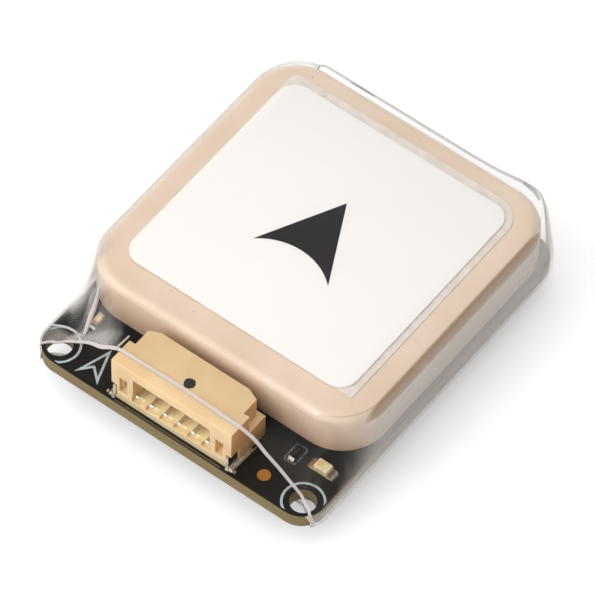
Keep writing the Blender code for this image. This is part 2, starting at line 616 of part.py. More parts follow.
def build_receiver(frame, laminate, steel, black, silver, white):
    """A small board that hangs under the main one, with its chips under a drawn steel can."""
    low = UNDERSIDE - RECEIVER_BOARD_HEIGHT
    plate = slab(0, RECEIVER_Y, RECEIVER_WIDTH, RECEIVER_LENGTH, low, UNDERSIDE)
    add_part("receiver_board", plate, frame, laminate)
    can_top = low - SEAT_GAP
    can_low = can_top - SHIELD_HEIGHT
    width = RECEIVER_WIDTH - 2 * SHIELD_INSET
    length = RECEIVER_LENGTH - 2 * SHIELD_INSET
    can = prism(rounded_square(width, length, SHIELD_CORNER, 0, RECEIVER_Y), can_low, can_top)
    round_level_edges(can, can_low, SHIELD_WALL, 2)
    can = add_part("receiver_shield", can, frame, steel)
    inside = rounded_square(
        width - 2 * SHIELD_WALL, length - 2 * SHIELD_WALL, SHIELD_CORNER - SHIELD_WALL, 0, RECEIVER_Y
    )
    combine(can, "shield_hollow", prism(inside, can_low + SHIELD_WALL, can_top + ABOVE), frame)
    chip_y = RECEIVER_Y - (CHIP_SPACING + CRYSTAL_WIDTH) / 2
    chip = slab(
        0, chip_y, RECEIVER_CHIP_SIDE, RECEIVER_CHIP_SIDE, can_top - RECEIVER_CHIP_HEIGHT, can_top
    )
    add_part("receiver_chip", chip, frame, black)
    row_y = chip_y + RECEIVER_CHIP_SIDE / 2 + CHIP_SPACING + CRYSTAL_WIDTH / 2
    crystal_x = (CHIP_SPACING + CRYSTAL_LENGTH) / 2
    crystal = slab(crystal_x, row_y, CRYSTAL_LENGTH, CRYSTAL_WIDTH, can_top - CRYSTAL_HEIGHT, can_top)
    add_part("receiver_crystal", crystal, frame, silver)
    filter_x = -(CHIP_SPACING + FILTER_LENGTH) / 2
    block = slab(filter_x, row_y, FILTER_LENGTH, FILTER_WIDTH, can_top - FILTER_HEIGHT, can_top)
    add_part("receiver_filter", block, frame, white)


def build_cell(frame, steel, tinned):
    """A backup coin cell between two welded tabs, each ending in a foot on the board."""
    radius = CELL_DIAMETER / 2
    low = CELL_TOP - CELL_HEIGHT
    cap = radius - CELL_RIM_STEP
    coin = (
        (0, CELL_TOP), (cap, CELL_TOP), (cap, CELL_TOP - CELL_RIM_HEIGHT),
        (radius, CELL_TOP - CELL_RIM_HEIGHT), (radius, low + CELL_EDGE_CHAMFER),
        (radius - CELL_EDGE_CHAMFER, low), (0, low),
    )
    add_part("backup_cell", turned(coin, CELL_X, CELL_Y), frame, steel)
    reach = radius + CELL_TAB_CLEARANCE
    half = CELL_TAB_WIDTH / 2
    strip = boxes([
        ((CELL_X - reach - CELL_TAB_FOOT, CELL_Y - half, UNDERSIDE - CELL_TAB_THICKNESS),
         (CELL_X + half, CELL_Y + half, UNDERSIDE)),
    ])
    add_part("cell_tab_negative", strip, frame, tinned)
    under = low - SEAT_GAP
    wall = CELL_X + reach
    outline = (
        (CELL_X - half, under), (CELL_X - half, under - CELL_TAB_THICKNESS),
        (wall + CELL_TAB_THICKNESS, under - CELL_TAB_THICKNESS),
        (wall + CELL_TAB_THICKNESS, UNDERSIDE - CELL_TAB_THICKNESS),
        (wall + CELL_TAB_FOOT, UNDERSIDE - CELL_TAB_THICKNESS), (wall + CELL_TAB_FOOT, UNDERSIDE),
        (wall, UNDERSIDE), (wall, under),
    )
    strip = profile_along_y(outline, CELL_Y - half, CELL_Y + half)
    add_part("cell_tab_positive", strip, frame, tinned)


def regulator_place():
    x = -BOARD_WIDTH / 2 + REGULATOR_EDGE_INSET
    return x, CELL_FRONT - REGULATOR_TO_CELL - LEAD_REACH - REGULATOR_WIDTH / 2


def compass_place():
    x = BOARD_WIDTH / 2 - COMPASS_EDGE_INSET
    return x, CELL_FRONT - COMPASS_TO_CELL - COMPASS_SIDE / 2


def build_regulator(frame, black):
    """A five lead package: the body stands off the board on its bent leads."""
    x, y = regulator_place()
    top = UNDERSIDE - REGULATOR_STANDOFF
    low = top - REGULATOR_HEIGHT
    body = slab(x, y, REGULATOR_LENGTH, REGULATOR_WIDTH, low, top)
    body = add_part("voltage_regulator", body, frame, black)
    knee = top - REGULATOR_HEIGHT / 2
    leads = bmesh.new()
    for side, places in ((-1, (-1, 0, 1)), (1, (-1, 1))):
        inner = REGULATOR_WIDTH / 2 - LEAD_THICKNESS
        outer = REGULATOR_WIDTH / 2 + LEAD_STANDOUT + LEAD_THICKNESS
        end = REGULATOR_WIDTH / 2 + LEAD_REACH
        bend = outer - LEAD_THICKNESS
        shape = (
            (inner, knee), (outer, knee), (outer, UNDERSIDE - LEAD_THICKNESS),
            (end, UNDERSIDE - LEAD_THICKNESS), (end, UNDERSIDE), (bend, UNDERSIDE),
            (bend, knee + LEAD_THICKNESS), (inner, knee + LEAD_THICKNESS),
        )
        outline = [(y + side * reach, z) for reach, z in shape]
        for place in places:
            middle = x + place * LEAD_SPACING
            lead = profile_along_x(outline, middle - LEAD_WIDTH / 2, middle + LEAD_WIDTH / 2)
            mesh = bpy.data.meshes.new("lead")
            lead.to_mesh(mesh)
            lead.free()
            leads.from_mesh(mesh)
    combine(body, "regulator_leads", leads, frame, "UNION")


def build_compass(frame, black):
    x, y = compass_place()
    chip = slab(x, y, COMPASS_SIDE, COMPASS_SIDE, UNDERSIDE - COMPASS_HEIGHT, UNDERSIDE)
    add_part("compass_chip", chip, frame, black)


def build_underside_passives(frame, resistor, capacitor):
    """Chip parts beside the receiver, the regulator and the compass chip."""
    column = RECEIVER_WIDTH / 2 + PASSIVE_CLEARANCE + CAPACITOR_LENGTH / 2
    for number in range(3):
        y = RECEIVER_Y + (number - 1) * PASSIVE_SPACING
        chip = chip_part(-column, y, CAPACITOR_LENGTH, CAPACITOR_WIDTH, CAPACITOR_HEIGHT, False, False)
        add_part(f"receiver_capacitor_{number + 1}", chip, frame, capacitor)
        chip = chip_part(column, y, RESISTOR_LENGTH, RESISTOR_WIDTH, RESISTOR_HEIGHT, False, False)
        add_part(f"receiver_resistor_{number + 1}", chip, frame, resistor)
    x, y = regulator_place()
    row = y - REGULATOR_WIDTH / 2 - LEAD_REACH - PASSIVE_CLEARANCE
    for number in range(2):
        place = x + number * PASSIVE_SPACING
        chip = chip_part(place, row, CAPACITOR_LENGTH, CAPACITOR_WIDTH, CAPACITOR_HEIGHT, True, False)
        add_part(f"regulator_capacitor_{number + 1}", chip, frame, capacitor)
    x, y = compass_place()
    column = x - COMPASS_SIDE / 2 - PASSIVE_CLEARANCE
    chip = chip_part(column, y, CAPACITOR_LENGTH, CAPACITOR_WIDTH, CAPACITOR_HEIGHT, True, False)
    add_part("compass_capacitor", chip, frame, capacitor)
    row = y + COMPASS_SIDE / 2 + PASSIVE_CLEARANCE
    for number in range(2):
        place = x + (number - 0.5) * PASSIVE_SPACING
        chip = chip_part(place, row, RESISTOR_LENGTH, RESISTOR_WIDTH, RESISTOR_HEIGHT, True, False)
        add_part(f"bus_resistor_{number + 1}", chip, frame, resistor)


def along(y, knots):
    """The value at y on a line through knots of place and value."""
    for (y0, v0), (y1, v1) in zip(knots, knots[1:]):
        if y <= y1:
            return v0 + (v1 - v0) * (y - y0) / (y1 - y0)
    return knots[-1][1]


def belly_extent():
    """The front, rear and half width of the sleeve's flat belly."""
    front = CELL_FRONT - SLEEVE_BELLY_MARGIN
    rear = RECEIVER_Y + RECEIVER_LENGTH / 2 + SLEEVE_BELLY_MARGIN
    half = max(RECEIVER_WIDTH / 2, abs(CELL_X) + CELL_DIAMETER / 2) + SLEEVE_BELLY_MARGIN
    return front, rear, half


def round_corner(straight, radius, distance, slack):
    """Half the width at a distance past the point where a round corner starts."""
    share = max(0.0, distance) / (radius + slack)
    return straight + radius * math.sqrt(max(0.0, 1 - share * share))


def crown_half_width(y):
    """Half the width between the sleeve's upper edges, which follow the ceramic's round corners."""
    straight = SLEEVE_SIDE - CERAMIC_CORNER
    front_centre = ANTENNA_FRONT + CERAMIC_CORNER
    rear_centre = ANTENNA_REAR - CERAMIC_CORNER
    if y > front_centre:
        return round_corner(straight, CERAMIC_CORNER, y - rear_centre, SLEEVE_REAR_SLACK)
    at_antenna = round_corner(
        straight, CERAMIC_CORNER, front_centre - max(y, ANTENNA_FRONT), SLEEVE_CORNER_SLACK
    )
    at_cut = HOUSING_HALF + SLEEVE_TENT_CLEARANCE
    if y > ANTENNA_FRONT:
        return at_antenna
    return along(y, ((SLEEVE_FRONT, at_cut), (ANTENNA_FRONT, at_antenna)))


def sleeve_section(y):
    """Half of the sleeve's inner section at y, from the top middle down to the bottom middle."""
    front_z = HOUSING_TOP + SLEEVE_GAP
    ceramic_z = CERAMIC_TOP + SLEEVE_GAP
    label_z = LABEL_TOP + SLEEVE_GAP
    rear_z = ceramic_z - SLEEVE_REAR_DROP
    edge_z = along(y, (
        (SLEEVE_FRONT, front_z), (ANTENNA_FRONT, ceramic_z), (ANTENNA_REAR, ceramic_z), (SLEEVE_REAR, rear_z),
    ))
    middle_z = along(y, (
        (SLEEVE_FRONT, front_z), (ANTENNA_FRONT, ceramic_z), (LABEL_FRONT, label_z),
        (LABEL_REAR, label_z), (ANTENNA_REAR, ceramic_z), (SLEEVE_REAR, rear_z),
    ))
    crown = crown_half_width(y)
    flat = min(LABEL_SIDE / 2 + LABEL_LEFT_SHIFT + SLEEVE_LABEL_MARGIN, SLEEVE_FLAT_SHARE * crown)
    board_z = BOARD_THICKNESS + SLEEVE_GAP
    side = round_corner(
        SLEEVE_SIDE - BOARD_CORNER, BOARD_CORNER, y - (BOARD_REAR - BOARD_CORNER), SLEEVE_REAR_SLACK
    )
    foot_x = BOARD_WIDTH / 2 - SLEEVE_FOOT_INSET
    wall_x = side + SLEEVE_FLARE_SHARE * (crown - side)
    wall_z = board_z + SLEEVE_FLARE_SHARE * (edge_z - board_z)
    foot_share = along(y, (
        (SLEEVE_FRONT, 1.0), (SLEEVE_FRONT + SLEEVE_FOOT_LENGTH, 1.0),
        (SLEEVE_FRONT + 2 * SLEEVE_FOOT_LENGTH, 0.0), (SLEEVE_REAR, 0.0),
    ))
    wall_x += foot_share * (foot_x - wall_x)
    wall_z += foot_share * (board_z - wall_z)
    front, rear, half = belly_extent()
    belly_z = along(y, (
        (SLEEVE_FRONT, -SLEEVE_GAP), (front, -SLEEVE_DEPTH), (rear, -SLEEVE_DEPTH),
        (SLEEVE_REAR, SLEEVE_REAR_RISE - SLEEVE_DEPTH),
    ))
    belly_half = along(y, (
        (SLEEVE_FRONT, SLEEVE_SIDE - SLEEVE_BELLY_START_INSET), (front, half), (rear, half),
        (SLEEVE_REAR, half + SLEEVE_REAR_SPREAD),
    ))
    return (
        (0, middle_z, 0), (flat, middle_z, 0), (crown, edge_z, SLEEVE_EDGE_ROUNDING), (wall_x, wall_z, 0),
        (side, board_z, 0), (side, -SLEEVE_GAP, SLEEVE_LOWER_ROUNDING), (belly_half, belly_z, 0),
        (0, belly_z, 0),
    )


def rounded_path(corners, steps):
    """The corners as points, with an arc in place of each corner that has a radius."""
    points = []
    for number, (x, z, radius) in enumerate(corners):
        if not radius:
            points.append((x, z))
            continue
        before = corners[number - 1]
        after = corners[number + 1]
        back = math.atan2(before[1] - z, before[0] - x)
        ahead = math.atan2(after[1] - z, after[0] - x)
        opening = (back - ahead) % (2 * math.pi)
        opening = min(opening, 2 * math.pi - opening)
        middle = math.atan2(math.sin(back) + math.sin(ahead), math.cos(back) + math.cos(ahead))
        reach = radius / math.sin(opening / 2)
        centre_x = x + reach * math.cos(middle)
        centre_z = z + reach * math.sin(middle)
        sweep = math.pi - opening
        for step in range(steps + 1):
            angle = middle + math.pi + sweep * (0.5 - step / steps)
            points.append((centre_x + radius * math.cos(angle), centre_z + radius * math.sin(angle)))
    return points


def sleeve_stations():
    """The places along Y where the sleeve has a section, front to rear."""
    front, rear, _ = belly_extent()
    places = [
        SLEEVE_FRONT, SLEEVE_FRONT + SLEEVE_FOOT_LENGTH, SLEEVE_FRONT + 2 * SLEEVE_FOOT_LENGTH,
        HOUSING_REAR, ANTENNA_FRONT, LABEL_FRONT, front, rear, LABEL_REAR, ANTENNA_REAR, SLEEVE_REAR,
    ]
    for step in range(7):
        turn = math.sin(math.radians(15 * step))
        places.append(ANTENNA_FRONT + CERAMIC_CORNER * (1 - turn))
        places.append(ANTENNA_REAR - CERAMIC_CORNER * (1 - turn))
        places.append(BOARD_REAR - BOARD_CORNER * (1 - turn))
    kept = [SLEEVE_FRONT]
    for place in sorted(places):
        if place - kept[-1] > STATION_SPACING and SLEEVE_REAR - place > STATION_SPACING:
            kept.append(place)
    return kept + [SLEEVE_REAR]


def build_sleeve(frame, clear):
    """A tube shrunk onto the stack: closed sections joined front to rear, then given a wall."""
    loops = []
    for y in sleeve_stations():
        half = rounded_path(sleeve_section(y), 4)
        right = [(x, y, z) for x, z in half]
        left = [(-x, y, z) for x, z in reversed(half[1:-1])]
        loops.append(right + left)
    bm = bmesh.new()
    skin(bm, loops, close_ends=False)
    sleeve = add_part("heat_shrink_sleeve", bm, frame, clear)
    wall = sleeve.modifiers.new("wall", "SOLIDIFY")
    wall.thickness = SLEEVE_WALL
    wall.offset = 1.0
    wall.use_even_offset = True


def main():
    clear_scene()
    frame = make_frame()
    laminate = material("black_laminate", (0.02, 0.02, 0.018), 0.35)
    foam = material("dark_foam", (0.03, 0.03, 0.03), 0.9)
    silver = material("fired_silver", (0.80, 0.78, 0.74), 0.4, 1.0)
    ceramic = material("tan_ceramic", (0.62, 0.45, 0.33), 0.45)
    white_label = material("white_label", (0.86, 0.83, 0.80), 0.5)
    clear = material("clear_film", (0.95, 0.95, 0.95), 0.08, alpha=0.2)
    cream = material("cream_plastic", (0.80, 0.62, 0.38), 0.5)
    tinned = material("tinned_metal", (0.85, 0.82, 0.74), 0.3, 1.0)
    solder = material("solder", (0.75, 0.74, 0.72), 0.3, 1.0)
    led_base = material("led_base", (0.75, 0.70, 0.55), 0.5)
    led_lens = material("led_lens", (0.85, 0.72, 0.35), 0.2)
    resistor = material("resistor_body", (0.03, 0.03, 0.03), 0.4)
    capacitor = material("capacitor_body", (0.62, 0.50, 0.34), 0.5)
    green_laminate = material("receiver_laminate", (0.02, 0.10, 0.05), 0.4)
    steel = material("shield_steel", (0.70, 0.70, 0.70), 0.35, 1.0)
    black = material("black_package", (0.03, 0.03, 0.03), 0.5)
    crystal = material("crystal_lid", (0.75, 0.75, 0.74), 0.3, 1.0)
    white_ceramic = material("filter_body", (0.80, 0.79, 0.75), 0.5)
    build_board(frame, laminate)
    build_antenna(frame, foam, silver, ceramic)
    build_electrode(frame, silver)
    build_feed(frame, tinned, solder)
    build_label(frame, white_label)
    build_housing(frame, cream)
    build_contacts(frame, tinned)
    build_tabs(frame, tinned)
    build_front_parts(frame, led_base, led_lens, resistor, capacitor)
    build_receiver(frame, green_laminate, steel, black, crystal, white_ceramic)
    build_cell(frame, steel, tinned)
    build_regulator(frame, black)
    build_compass(frame, black)
    build_underside_passives(frame, resistor, capacitor)
    build_sleeve(frame, clear)


main()
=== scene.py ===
import math

import bmesh
import bpy
from bpy.props import FloatProperty, FloatVectorProperty, IntProperty, PointerProperty
from bpy.types import Operator, Panel, PropertyGroup
from mathutils import Color, Matrix, Vector, noise


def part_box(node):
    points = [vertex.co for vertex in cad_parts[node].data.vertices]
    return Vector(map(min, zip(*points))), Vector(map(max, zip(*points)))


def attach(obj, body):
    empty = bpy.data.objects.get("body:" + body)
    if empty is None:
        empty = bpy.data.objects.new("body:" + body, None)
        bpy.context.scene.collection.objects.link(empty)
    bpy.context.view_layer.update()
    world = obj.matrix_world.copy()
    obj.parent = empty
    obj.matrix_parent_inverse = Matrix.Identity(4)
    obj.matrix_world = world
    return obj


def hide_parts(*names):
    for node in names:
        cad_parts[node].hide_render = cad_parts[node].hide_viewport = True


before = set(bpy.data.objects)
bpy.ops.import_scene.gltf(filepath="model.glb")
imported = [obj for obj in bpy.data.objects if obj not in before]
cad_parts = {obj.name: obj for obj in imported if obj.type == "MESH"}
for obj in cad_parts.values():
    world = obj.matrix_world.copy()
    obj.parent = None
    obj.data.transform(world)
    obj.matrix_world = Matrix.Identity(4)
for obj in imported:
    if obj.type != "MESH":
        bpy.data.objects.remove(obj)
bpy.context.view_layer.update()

bl_info = {
    "name": "GPS Module Dressing",
    "version": (1, 0, 0),
    "blender": (4, 5, 0),
    "location": "3D View > Sidebar > GPS Module",
    "description": "Finished pieces, materials and studio stage for a small GPS module",
    "category": "Add Mesh",
}

MM = 0.001
SIDES = (-1, 1)
CONTACTS = range(1, 7)


def board_centre():
    """The middle of the board's underside, in metres."""
    low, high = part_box("circuit_board")
    return Vector(((low[0] + high[0]) / 2, (low[1] + high[1]) / 2, low[2]))


CENTRE = board_centre()


def extent(node):
    """A node's lowest and highest corners, in millimetres from the middle of the board's underside."""
    low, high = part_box(node)
    return (Vector(low) - CENTRE) / MM, (Vector(high) - CENTRE) / MM


def middle(node):
    low, high = extent(node)
    return (low + high) / 2


def part_way(value, start, stop):
    """How far a value has come from start to stop, held between 0 and 1."""
    return max(0.0, min(1.0, (value - start) / (stop - start)))


# Settings

def length(label, about, default):
    """A length setting. Its default is given in millimetres and kept in metres."""
    return FloatProperty(name=label, description=about, default=default * MM, min=0.0,
                         subtype="DISTANCE", unit="LENGTH", precision=5)


def colour(label, about, red, green, blue):
    """A colour setting, from screen values of 0 to 255."""
    return FloatVectorProperty(name=label, description=about, subtype="COLOR_GAMMA", size=3,
                               min=0.0, max=1.0, default=(red / 255, green / 255, blue / 255))


class BoardSettings(PropertyGroup):
    corner: length("Corner radius", "Radius of the board's four corners", 2.0)
    hole: length("Hole radius", "Radius of the two mounting holes", 1.0)
    hole_inset: length("Hole inset", "Hole centre to the nearest two board edges", 1.5)
    ring_inner: length("Ring inner radius", "Inner radius of the printed ring round each hole", 1.46)
    ring_outer: length("Ring outer radius", "Outer radius of the printed ring round each hole", 1.64)
    print_line: length("Print line", "Width of the printed arrow's outline", 0.18)
    mark: length("Gold mark radius", "Radius of the gold alignment mark", 0.5)
    mask: colour("Solder mask", "Black lacquer on both faces", 20, 18, 17)
    laminate: colour("Laminate", "Bare glass laminate at the cut edge", 120, 103, 62)
    ink: colour("Board print", "Pale print on the solder mask", 176, 188, 190)
    gold: colour("Gold", "Plated copper left bare of lacquer", 222, 154, 76)


class AntennaSettings(PropertyGroup):
    corner: length("Ceramic corner", "Radius of the ceramic's upright corners", 3.8)
    top_rounding: length("Top rounding", "Rounding of the ceramic's upper edge", 0.8)
    foot_rounding: length("Foot rounding", "Rounding of the ceramic's lower edge", 0.2)
    label_corner: length("Label corner", "Radius of the label's corners", 1.5)
    arrow_rise: length("Arrow notch", "Depth of the arrow's curved notch", 1.32)
    ceramic: colour("Ceramic", "Pressed and fired tan ceramic", 230, 209, 188)
    ceramic_shade: colour("Ceramic patches", "Slightly darker patches of the ceramic", 223, 199, 175)
    silver: colour("Fired silver", "Silver electrode on the ceramic", 236, 226, 217)
    label: colour("Label", "White label film", 246, 241, 237)
    arrow: colour("Arrow", "Direction arrow printed on the label", 28, 26, 26)


class ConnectorSettings(PropertyGroup):
    edge: length("Moulded edge", "Rounding of the housing's moulded edges", 0.07)
    ink_radius: length("Ink dot radius", "Radius of the inspection dot on the housing", 0.44)
    plastic: colour("Housing", "Cream moulded nylon", 225, 197, 154)
    plastic_shade: colour("Housing patches", "Deeper tint where the nylon is thick", 217, 184, 138)
    tin: colour("Tin plating", "Plating of the six contacts", 226, 222, 212)
    ink: colour("Inspection ink", "Ink of the dot on the housing", 46, 34, 36)


class SleeveSettings(PropertyGroup):
    wall: length("Wall", "Thickness of the shrunk film", 0.1)
    front_cut: length("Front cut", "Board's front edge to the film's cut edge", 1.3)
    cut_band: length("Cut band", "Width of the frosted band along each cut edge", 0.24)
    wrinkle: length("Wrinkles", "Greatest height of the film's wrinkles over the open front", 0.09)
    crease: length("Crease radius", "Usual half width of the creases in the film", 0.13)
    around: IntProperty(name="Points per run", description="Points on each straight run of a section",
                        default=3, min=1, max=8)
    film: colour("Film", "Clear polymer film", 214, 208, 202)


class StageSettings(PropertyGroup):
    key_power: FloatProperty(name="Key power", default=3.5,
                             description="Power of the large soft lamp in watts")
    sky: FloatProperty(name="Surrounding light", default=0.55,
                       description="Brightness of the pale surroundings")
    floor: colour("Floor", "Plain pale floor", 215, 215, 215)


# Materials

def add_node(tree, kind, inputs=(), **settings):
    """A shader node with its settings made, and each input linked or given its value."""
    made = tree.nodes.new("ShaderNode" + kind)
    for name, value in settings.items():
        setattr(made, name, value)
    for name, value in dict(inputs).items():
        if isinstance(value, bpy.types.NodeSocket):
            tree.links.new(value, made.inputs[name])
        else:
            made.inputs[name].default_value = value
    return made


def calc(tree, operation, *values, **settings):
    """The result of a Math node."""
    return add_node(tree, "Math", enumerate(values), operation=operation, **settings).outputs[0]


def rgba(tint):
    """A screen colour as the scene's own linear colour."""
    linear = Color(tuple(tint)).from_srgb_to_scene_linear()
    return (linear.r, linear.g, linear.b, 1.0)


def dimmed(tint, share):
    """A linear colour made darker, or brighter where the share is over 1."""
    return (*(min(1.0, share * part) for part in tint[:3]), 1.0)


def blend(tree, share, first, second):
    """The colour between two colours at a share."""
    return add_node(tree, "Mix", {0: share, 6: first, 7: second}, data_type="RGBA").outputs[2]


def ramp(tree, value, low, high, start, end):
    """A value carried from low..high to start..end, held at both ends."""
    return add_node(tree, "MapRange", {
        "Value": value, "From Min": low, "From Max": high, "To Min": start, "To Max": end,
    }).outputs["Result"]


def relief(tree, height, depth):
    """The normals of a relief that is some millimetres deep."""
    return add_node(tree, "Bump", {"Height": height, "Distance": depth * MM, "Strength": 1.0}).outputs[0]


def surface_detail():
    """The shared group of grain, soft patches and small specks, on Object coordinates."""
    group = bpy.data.node_groups.get("surface_detail")
    if group:
        return group
    group = bpy.data.node_groups.new("surface_detail", "ShaderNodeTree")
    faces = group.interface
    for name, default in (("Grain Scale", 9000.0), ("Patch Scale", 400.0), ("Speck Scale", 4000.0),
                          ("Speck Level", 0.7)):
        socket = faces.new_socket(name=name, in_out="INPUT", socket_type="NodeSocketFloat")
        socket.default_value = default
    stretch = faces.new_socket(name="Stretch", in_out="INPUT", socket_type="NodeSocketVector")
    stretch.default_value = (1.0, 1.0, 1.0)
    for name in ("Grain", "Patches", "Specks"):
        faces.new_socket(name=name, in_out="OUTPUT", socket_type="NodeSocketFloat")
    given = group.nodes.new("NodeGroupInput").outputs
    place = add_node(group, "TexCoord").outputs["Object"]
    drawn = add_node(group, "VectorMath", {0: place, 1: given["Stretch"]}, operation="MULTIPLY").outputs[0]

    def clouds(where, scale, detail):
        inputs = {"Vector": where, "Scale": given[scale], "Detail": detail}
        return add_node(group, "TexNoise", inputs).outputs["Fac"]

    above = calc(group, "ADD", given["Speck Level"], 0.05)
    result = group.nodes.new("NodeGroupOutput").inputs
    for name, value in (
        ("Grain", clouds(drawn, "Grain Scale", 3.0)),
        ("Patches", ramp(group, clouds(drawn, "Patch Scale", 4.0), 0.35, 0.65, 0.0, 1.0)),
        ("Specks", ramp(group, clouds(place, "Speck Scale", 1.0), given["Speck Level"], above, 0.0, 1.0)),
    ):
        group.links.new(value, result[name])
    return group


def new_material(name, **values):
    """An empty material, its node tree, and the outputs of the surface detail placed in it."""
    old = bpy.data.materials.get(name)
    if old:
        bpy.data.materials.remove(old)
    made = bpy.data.materials.new(name)
    made.use_nodes = True
    tree = made.node_tree
    tree.nodes.clear()
    group = add_node(tree, "Group", node_tree=surface_detail())
    for socket, value in values.items():
        group.inputs[socket.replace("_", " ").title()].default_value = value
    return made, tree, group.outputs


def shade_with(tree, inputs):
    """The material's shader, on its output."""
    shader = add_node(tree, "BsdfPrincipled", inputs)
    add_node(tree, "OutputMaterial", {"Surface": shader.outputs[0]})


def finish(name, tint, shade=None, fleck=None, roughness=0.45, spread=0.08, metallic=0.0, grain=9000.0,
           depth=0.003, patches=400.0, specks=4000.0, level=0.7, stretch=(1, 1, 1), **sockets):
    """A solid finish: a tint with softly darker patches, specks, uneven roughness and a fine grain."""
    made, tree, detail = new_material(name, grain_scale=grain, patch_scale=patches, speck_scale=specks,
                                      speck_level=level, stretch=stretch)
    tint = rgba(tint)
    base = blend(tree, detail["Patches"], tint, rgba(shade) if shade else dimmed(tint, 0.86))
    base = blend(tree, detail["Specks"], base, rgba(fleck) if fleck else dimmed(tint, 0.7))
    uneven = ramp(tree, detail["Patches"], 0.0, 1.0, roughness - spread, roughness + spread)
    shade_with(tree, {
        "Base Color": base, "Roughness": uneven, "Metallic": metallic,
        "Normal": relief(tree, detail["Grain"], depth),
        **{key.replace("_", " ").title(): value for key, value in sockets.items()},
    })
    return made


def board_place(tree):
    """The place on a piece as three values, in metres from the middle of the board's underside."""
    place = add_node(tree, "VectorMath", {0: add_node(tree, "TexCoord").outputs["Object"], 1: CENTRE},
                     operation="SUBTRACT").outputs[0]
    return add_node(tree, "SeparateXYZ", {0: place}).outputs


def within(tree, place, share, *limits):
    """A share that each limit fades in along its axis, from one place to another in millimetres."""
    for axis, start, stop in limits:
        share = calc(tree, "MULTIPLY", share, ramp(tree, place[axis], start * MM, stop * MM, 0.0, 1.0))
    return share


def tinted_where(made, tint, share, *limits):
    """Lays a second tint over a finish, at a share and within limits of place."""
    tree = made.node_tree
    base = next(node for node in tree.nodes if node.type == "BSDF_PRINCIPLED").inputs["Base Color"]
    if limits:
        share = within(tree, board_place(tree), share, *limits)
    tree.links.new(blend(tree, share, base.links[0].from_socket, rgba(tint)), base)


def laminate_edge(tint):
    """Cut glass laminate: thin level layers and rough fibres."""
    made, tree, detail = new_material("laminate_edge", grain_scale=6000.0, patch_scale=260.0,
                                      stretch=(1.0, 1.0, 5.0))
    layers = add_node(tree, "TexWave", {
        "Vector": add_node(tree, "TexCoord").outputs["Object"], "Scale": 900.0, "Distortion": 1.5,
        "Detail": 2.0, "Detail Scale": 3.0,
    }, bands_direction="Z").outputs["Fac"]
    tint = rgba(tint)
    dark = dimmed(tint, 0.55)
    base = blend(tree, detail["Patches"], tint, dimmed(tint, 1.15))
    base = blend(tree, ramp(tree, layers, 0.3, 1.0, 0.0, 0.45), base, dark)
    base = blend(tree, ramp(tree, detail["Grain"], 0.5, 0.8, 0.0, 0.5), base, dark)
    shade_with(tree, {"Base Color": base, "Roughness": ramp(tree, layers, 0.0, 1.0, 0.55, 0.75),
                      "Normal": relief(tree, detail["Grain"], 0.02)})
    return made


def film_finish(name, tint, clear, grazing, metallic, roughness, veil, scuffed, crumple_and_painted_light):
    """Clear film: see-through seen square on, mirror-like at a grazing angle, scuffed on its sides, and
    cloudy where it crumples beside the connector, a cloud that is partly painted reflection, with a painted
    highlight low on its left side."""
    made, tree, detail = new_material(name, grain_scale=1100.0, patch_scale=300.0, speck_scale=2500.0,
                                      speck_level=0.68)
    facing = add_node(tree, "LayerWeight", {"Blend": 0.5}).outputs["Facing"]
    gloss = ramp(tree, calc(tree, "POWER", facing, 2.4), 0.0, 1.0, clear, grazing)
    place = board_place(tree)
    from_middle = calc(tree, "ABSOLUTE", place["X"])
    haze_and_painted_light = ramp(tree, detail["Patches"], 0.0, 1.0, 0.0, veil)
    crumple_and_painted_reflection = ramp(tree, detail["Grain"], 0.35, 0.65, 0.7 * crumple_and_painted_light, crumple_and_painted_light)
    rubbed = ramp(tree, from_middle, 12.35 * MM, 12.62 * MM, 0.0, scuffed)
    for share, *limits in (
        # Crumpling to the left of the connector, its cloud partly painted reflection; rubbed on both sides;
        # and a painted highlight low on the left side, towards the front
        (crumple_and_painted_reflection, ("Y", -12.45, -12.9), ("X", -5.9, -6.7), ("Z", 1.1, 1.3)),
        (rubbed, ("Y", 13.5, 12.0)),
        (1.8 * crumple_and_painted_light, ("X", -10.9, -11.8), ("Y", -11.7, -10.8), ("Y", -6.5, -8.0), ("Z", 1.4, 2.0)),
    ):
        haze_and_painted_light = calc(tree, "ADD", haze_and_painted_light, within(tree, place, share, *limits))
    shade_with(tree, {
        "Base Color": rgba(tint), "Metallic": ramp(tree, haze_and_painted_light, 0.0, 0.12, metallic, 0.25 * metallic),
        "Alpha": calc(tree, "ADD", gloss, haze_and_painted_light, use_clamp=True),
        "Normal": relief(tree, detail["Grain"], 0.02),
        "Roughness": ramp(tree, detail["Patches"], 0.0, 1.0, roughness * 0.7, roughness * 1.3),
    })
    return made


def dress(node, material):
    """A CAD node that keeps its shape and gets its finished material."""
    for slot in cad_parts[node].material_slots:
        slot.material = material


# Shapes, in millimetres from the middle of the board's underside

def new_object(name, data):
    """An object that is new to the scene, in the place of an old one of its name."""
    old = bpy.data.objects.get(name)
    if old:
        bpy.data.objects.remove(old)
    made = bpy.data.objects.new(name, data)
    bpy.context.scene.collection.objects.link(made)
    return made


def mesh_of(name, bm, *finishes):
    mesh = bpy.data.meshes.new(name)
    bm.to_mesh(mesh)
    bm.free()
    for made in finishes:
        mesh.materials.append(made)
    return mesh


def move(bm, way, verts=None):
    bmesh.ops.translate(bm, vec=way, verts=verts or bm.verts)


def piece(name, bm, finishes, replaces=(), smooth=32.0):
    """The shape as a finished object that rides on the body and hides the CAD nodes it replaces."""
    bmesh.ops.scale(bm, vec=(MM, MM, MM), verts=bm.verts)
    move(bm, CENTRE)
    mesh = mesh_of(name, bm, *finishes)
    mesh.shade_smooth()
    mesh.set_sharp_from_angle(angle=math.radians(smooth))
    shown = new_object(name, mesh)
    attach(shown, "root")
    if replaces:
        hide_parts(*replaces)
    return shown


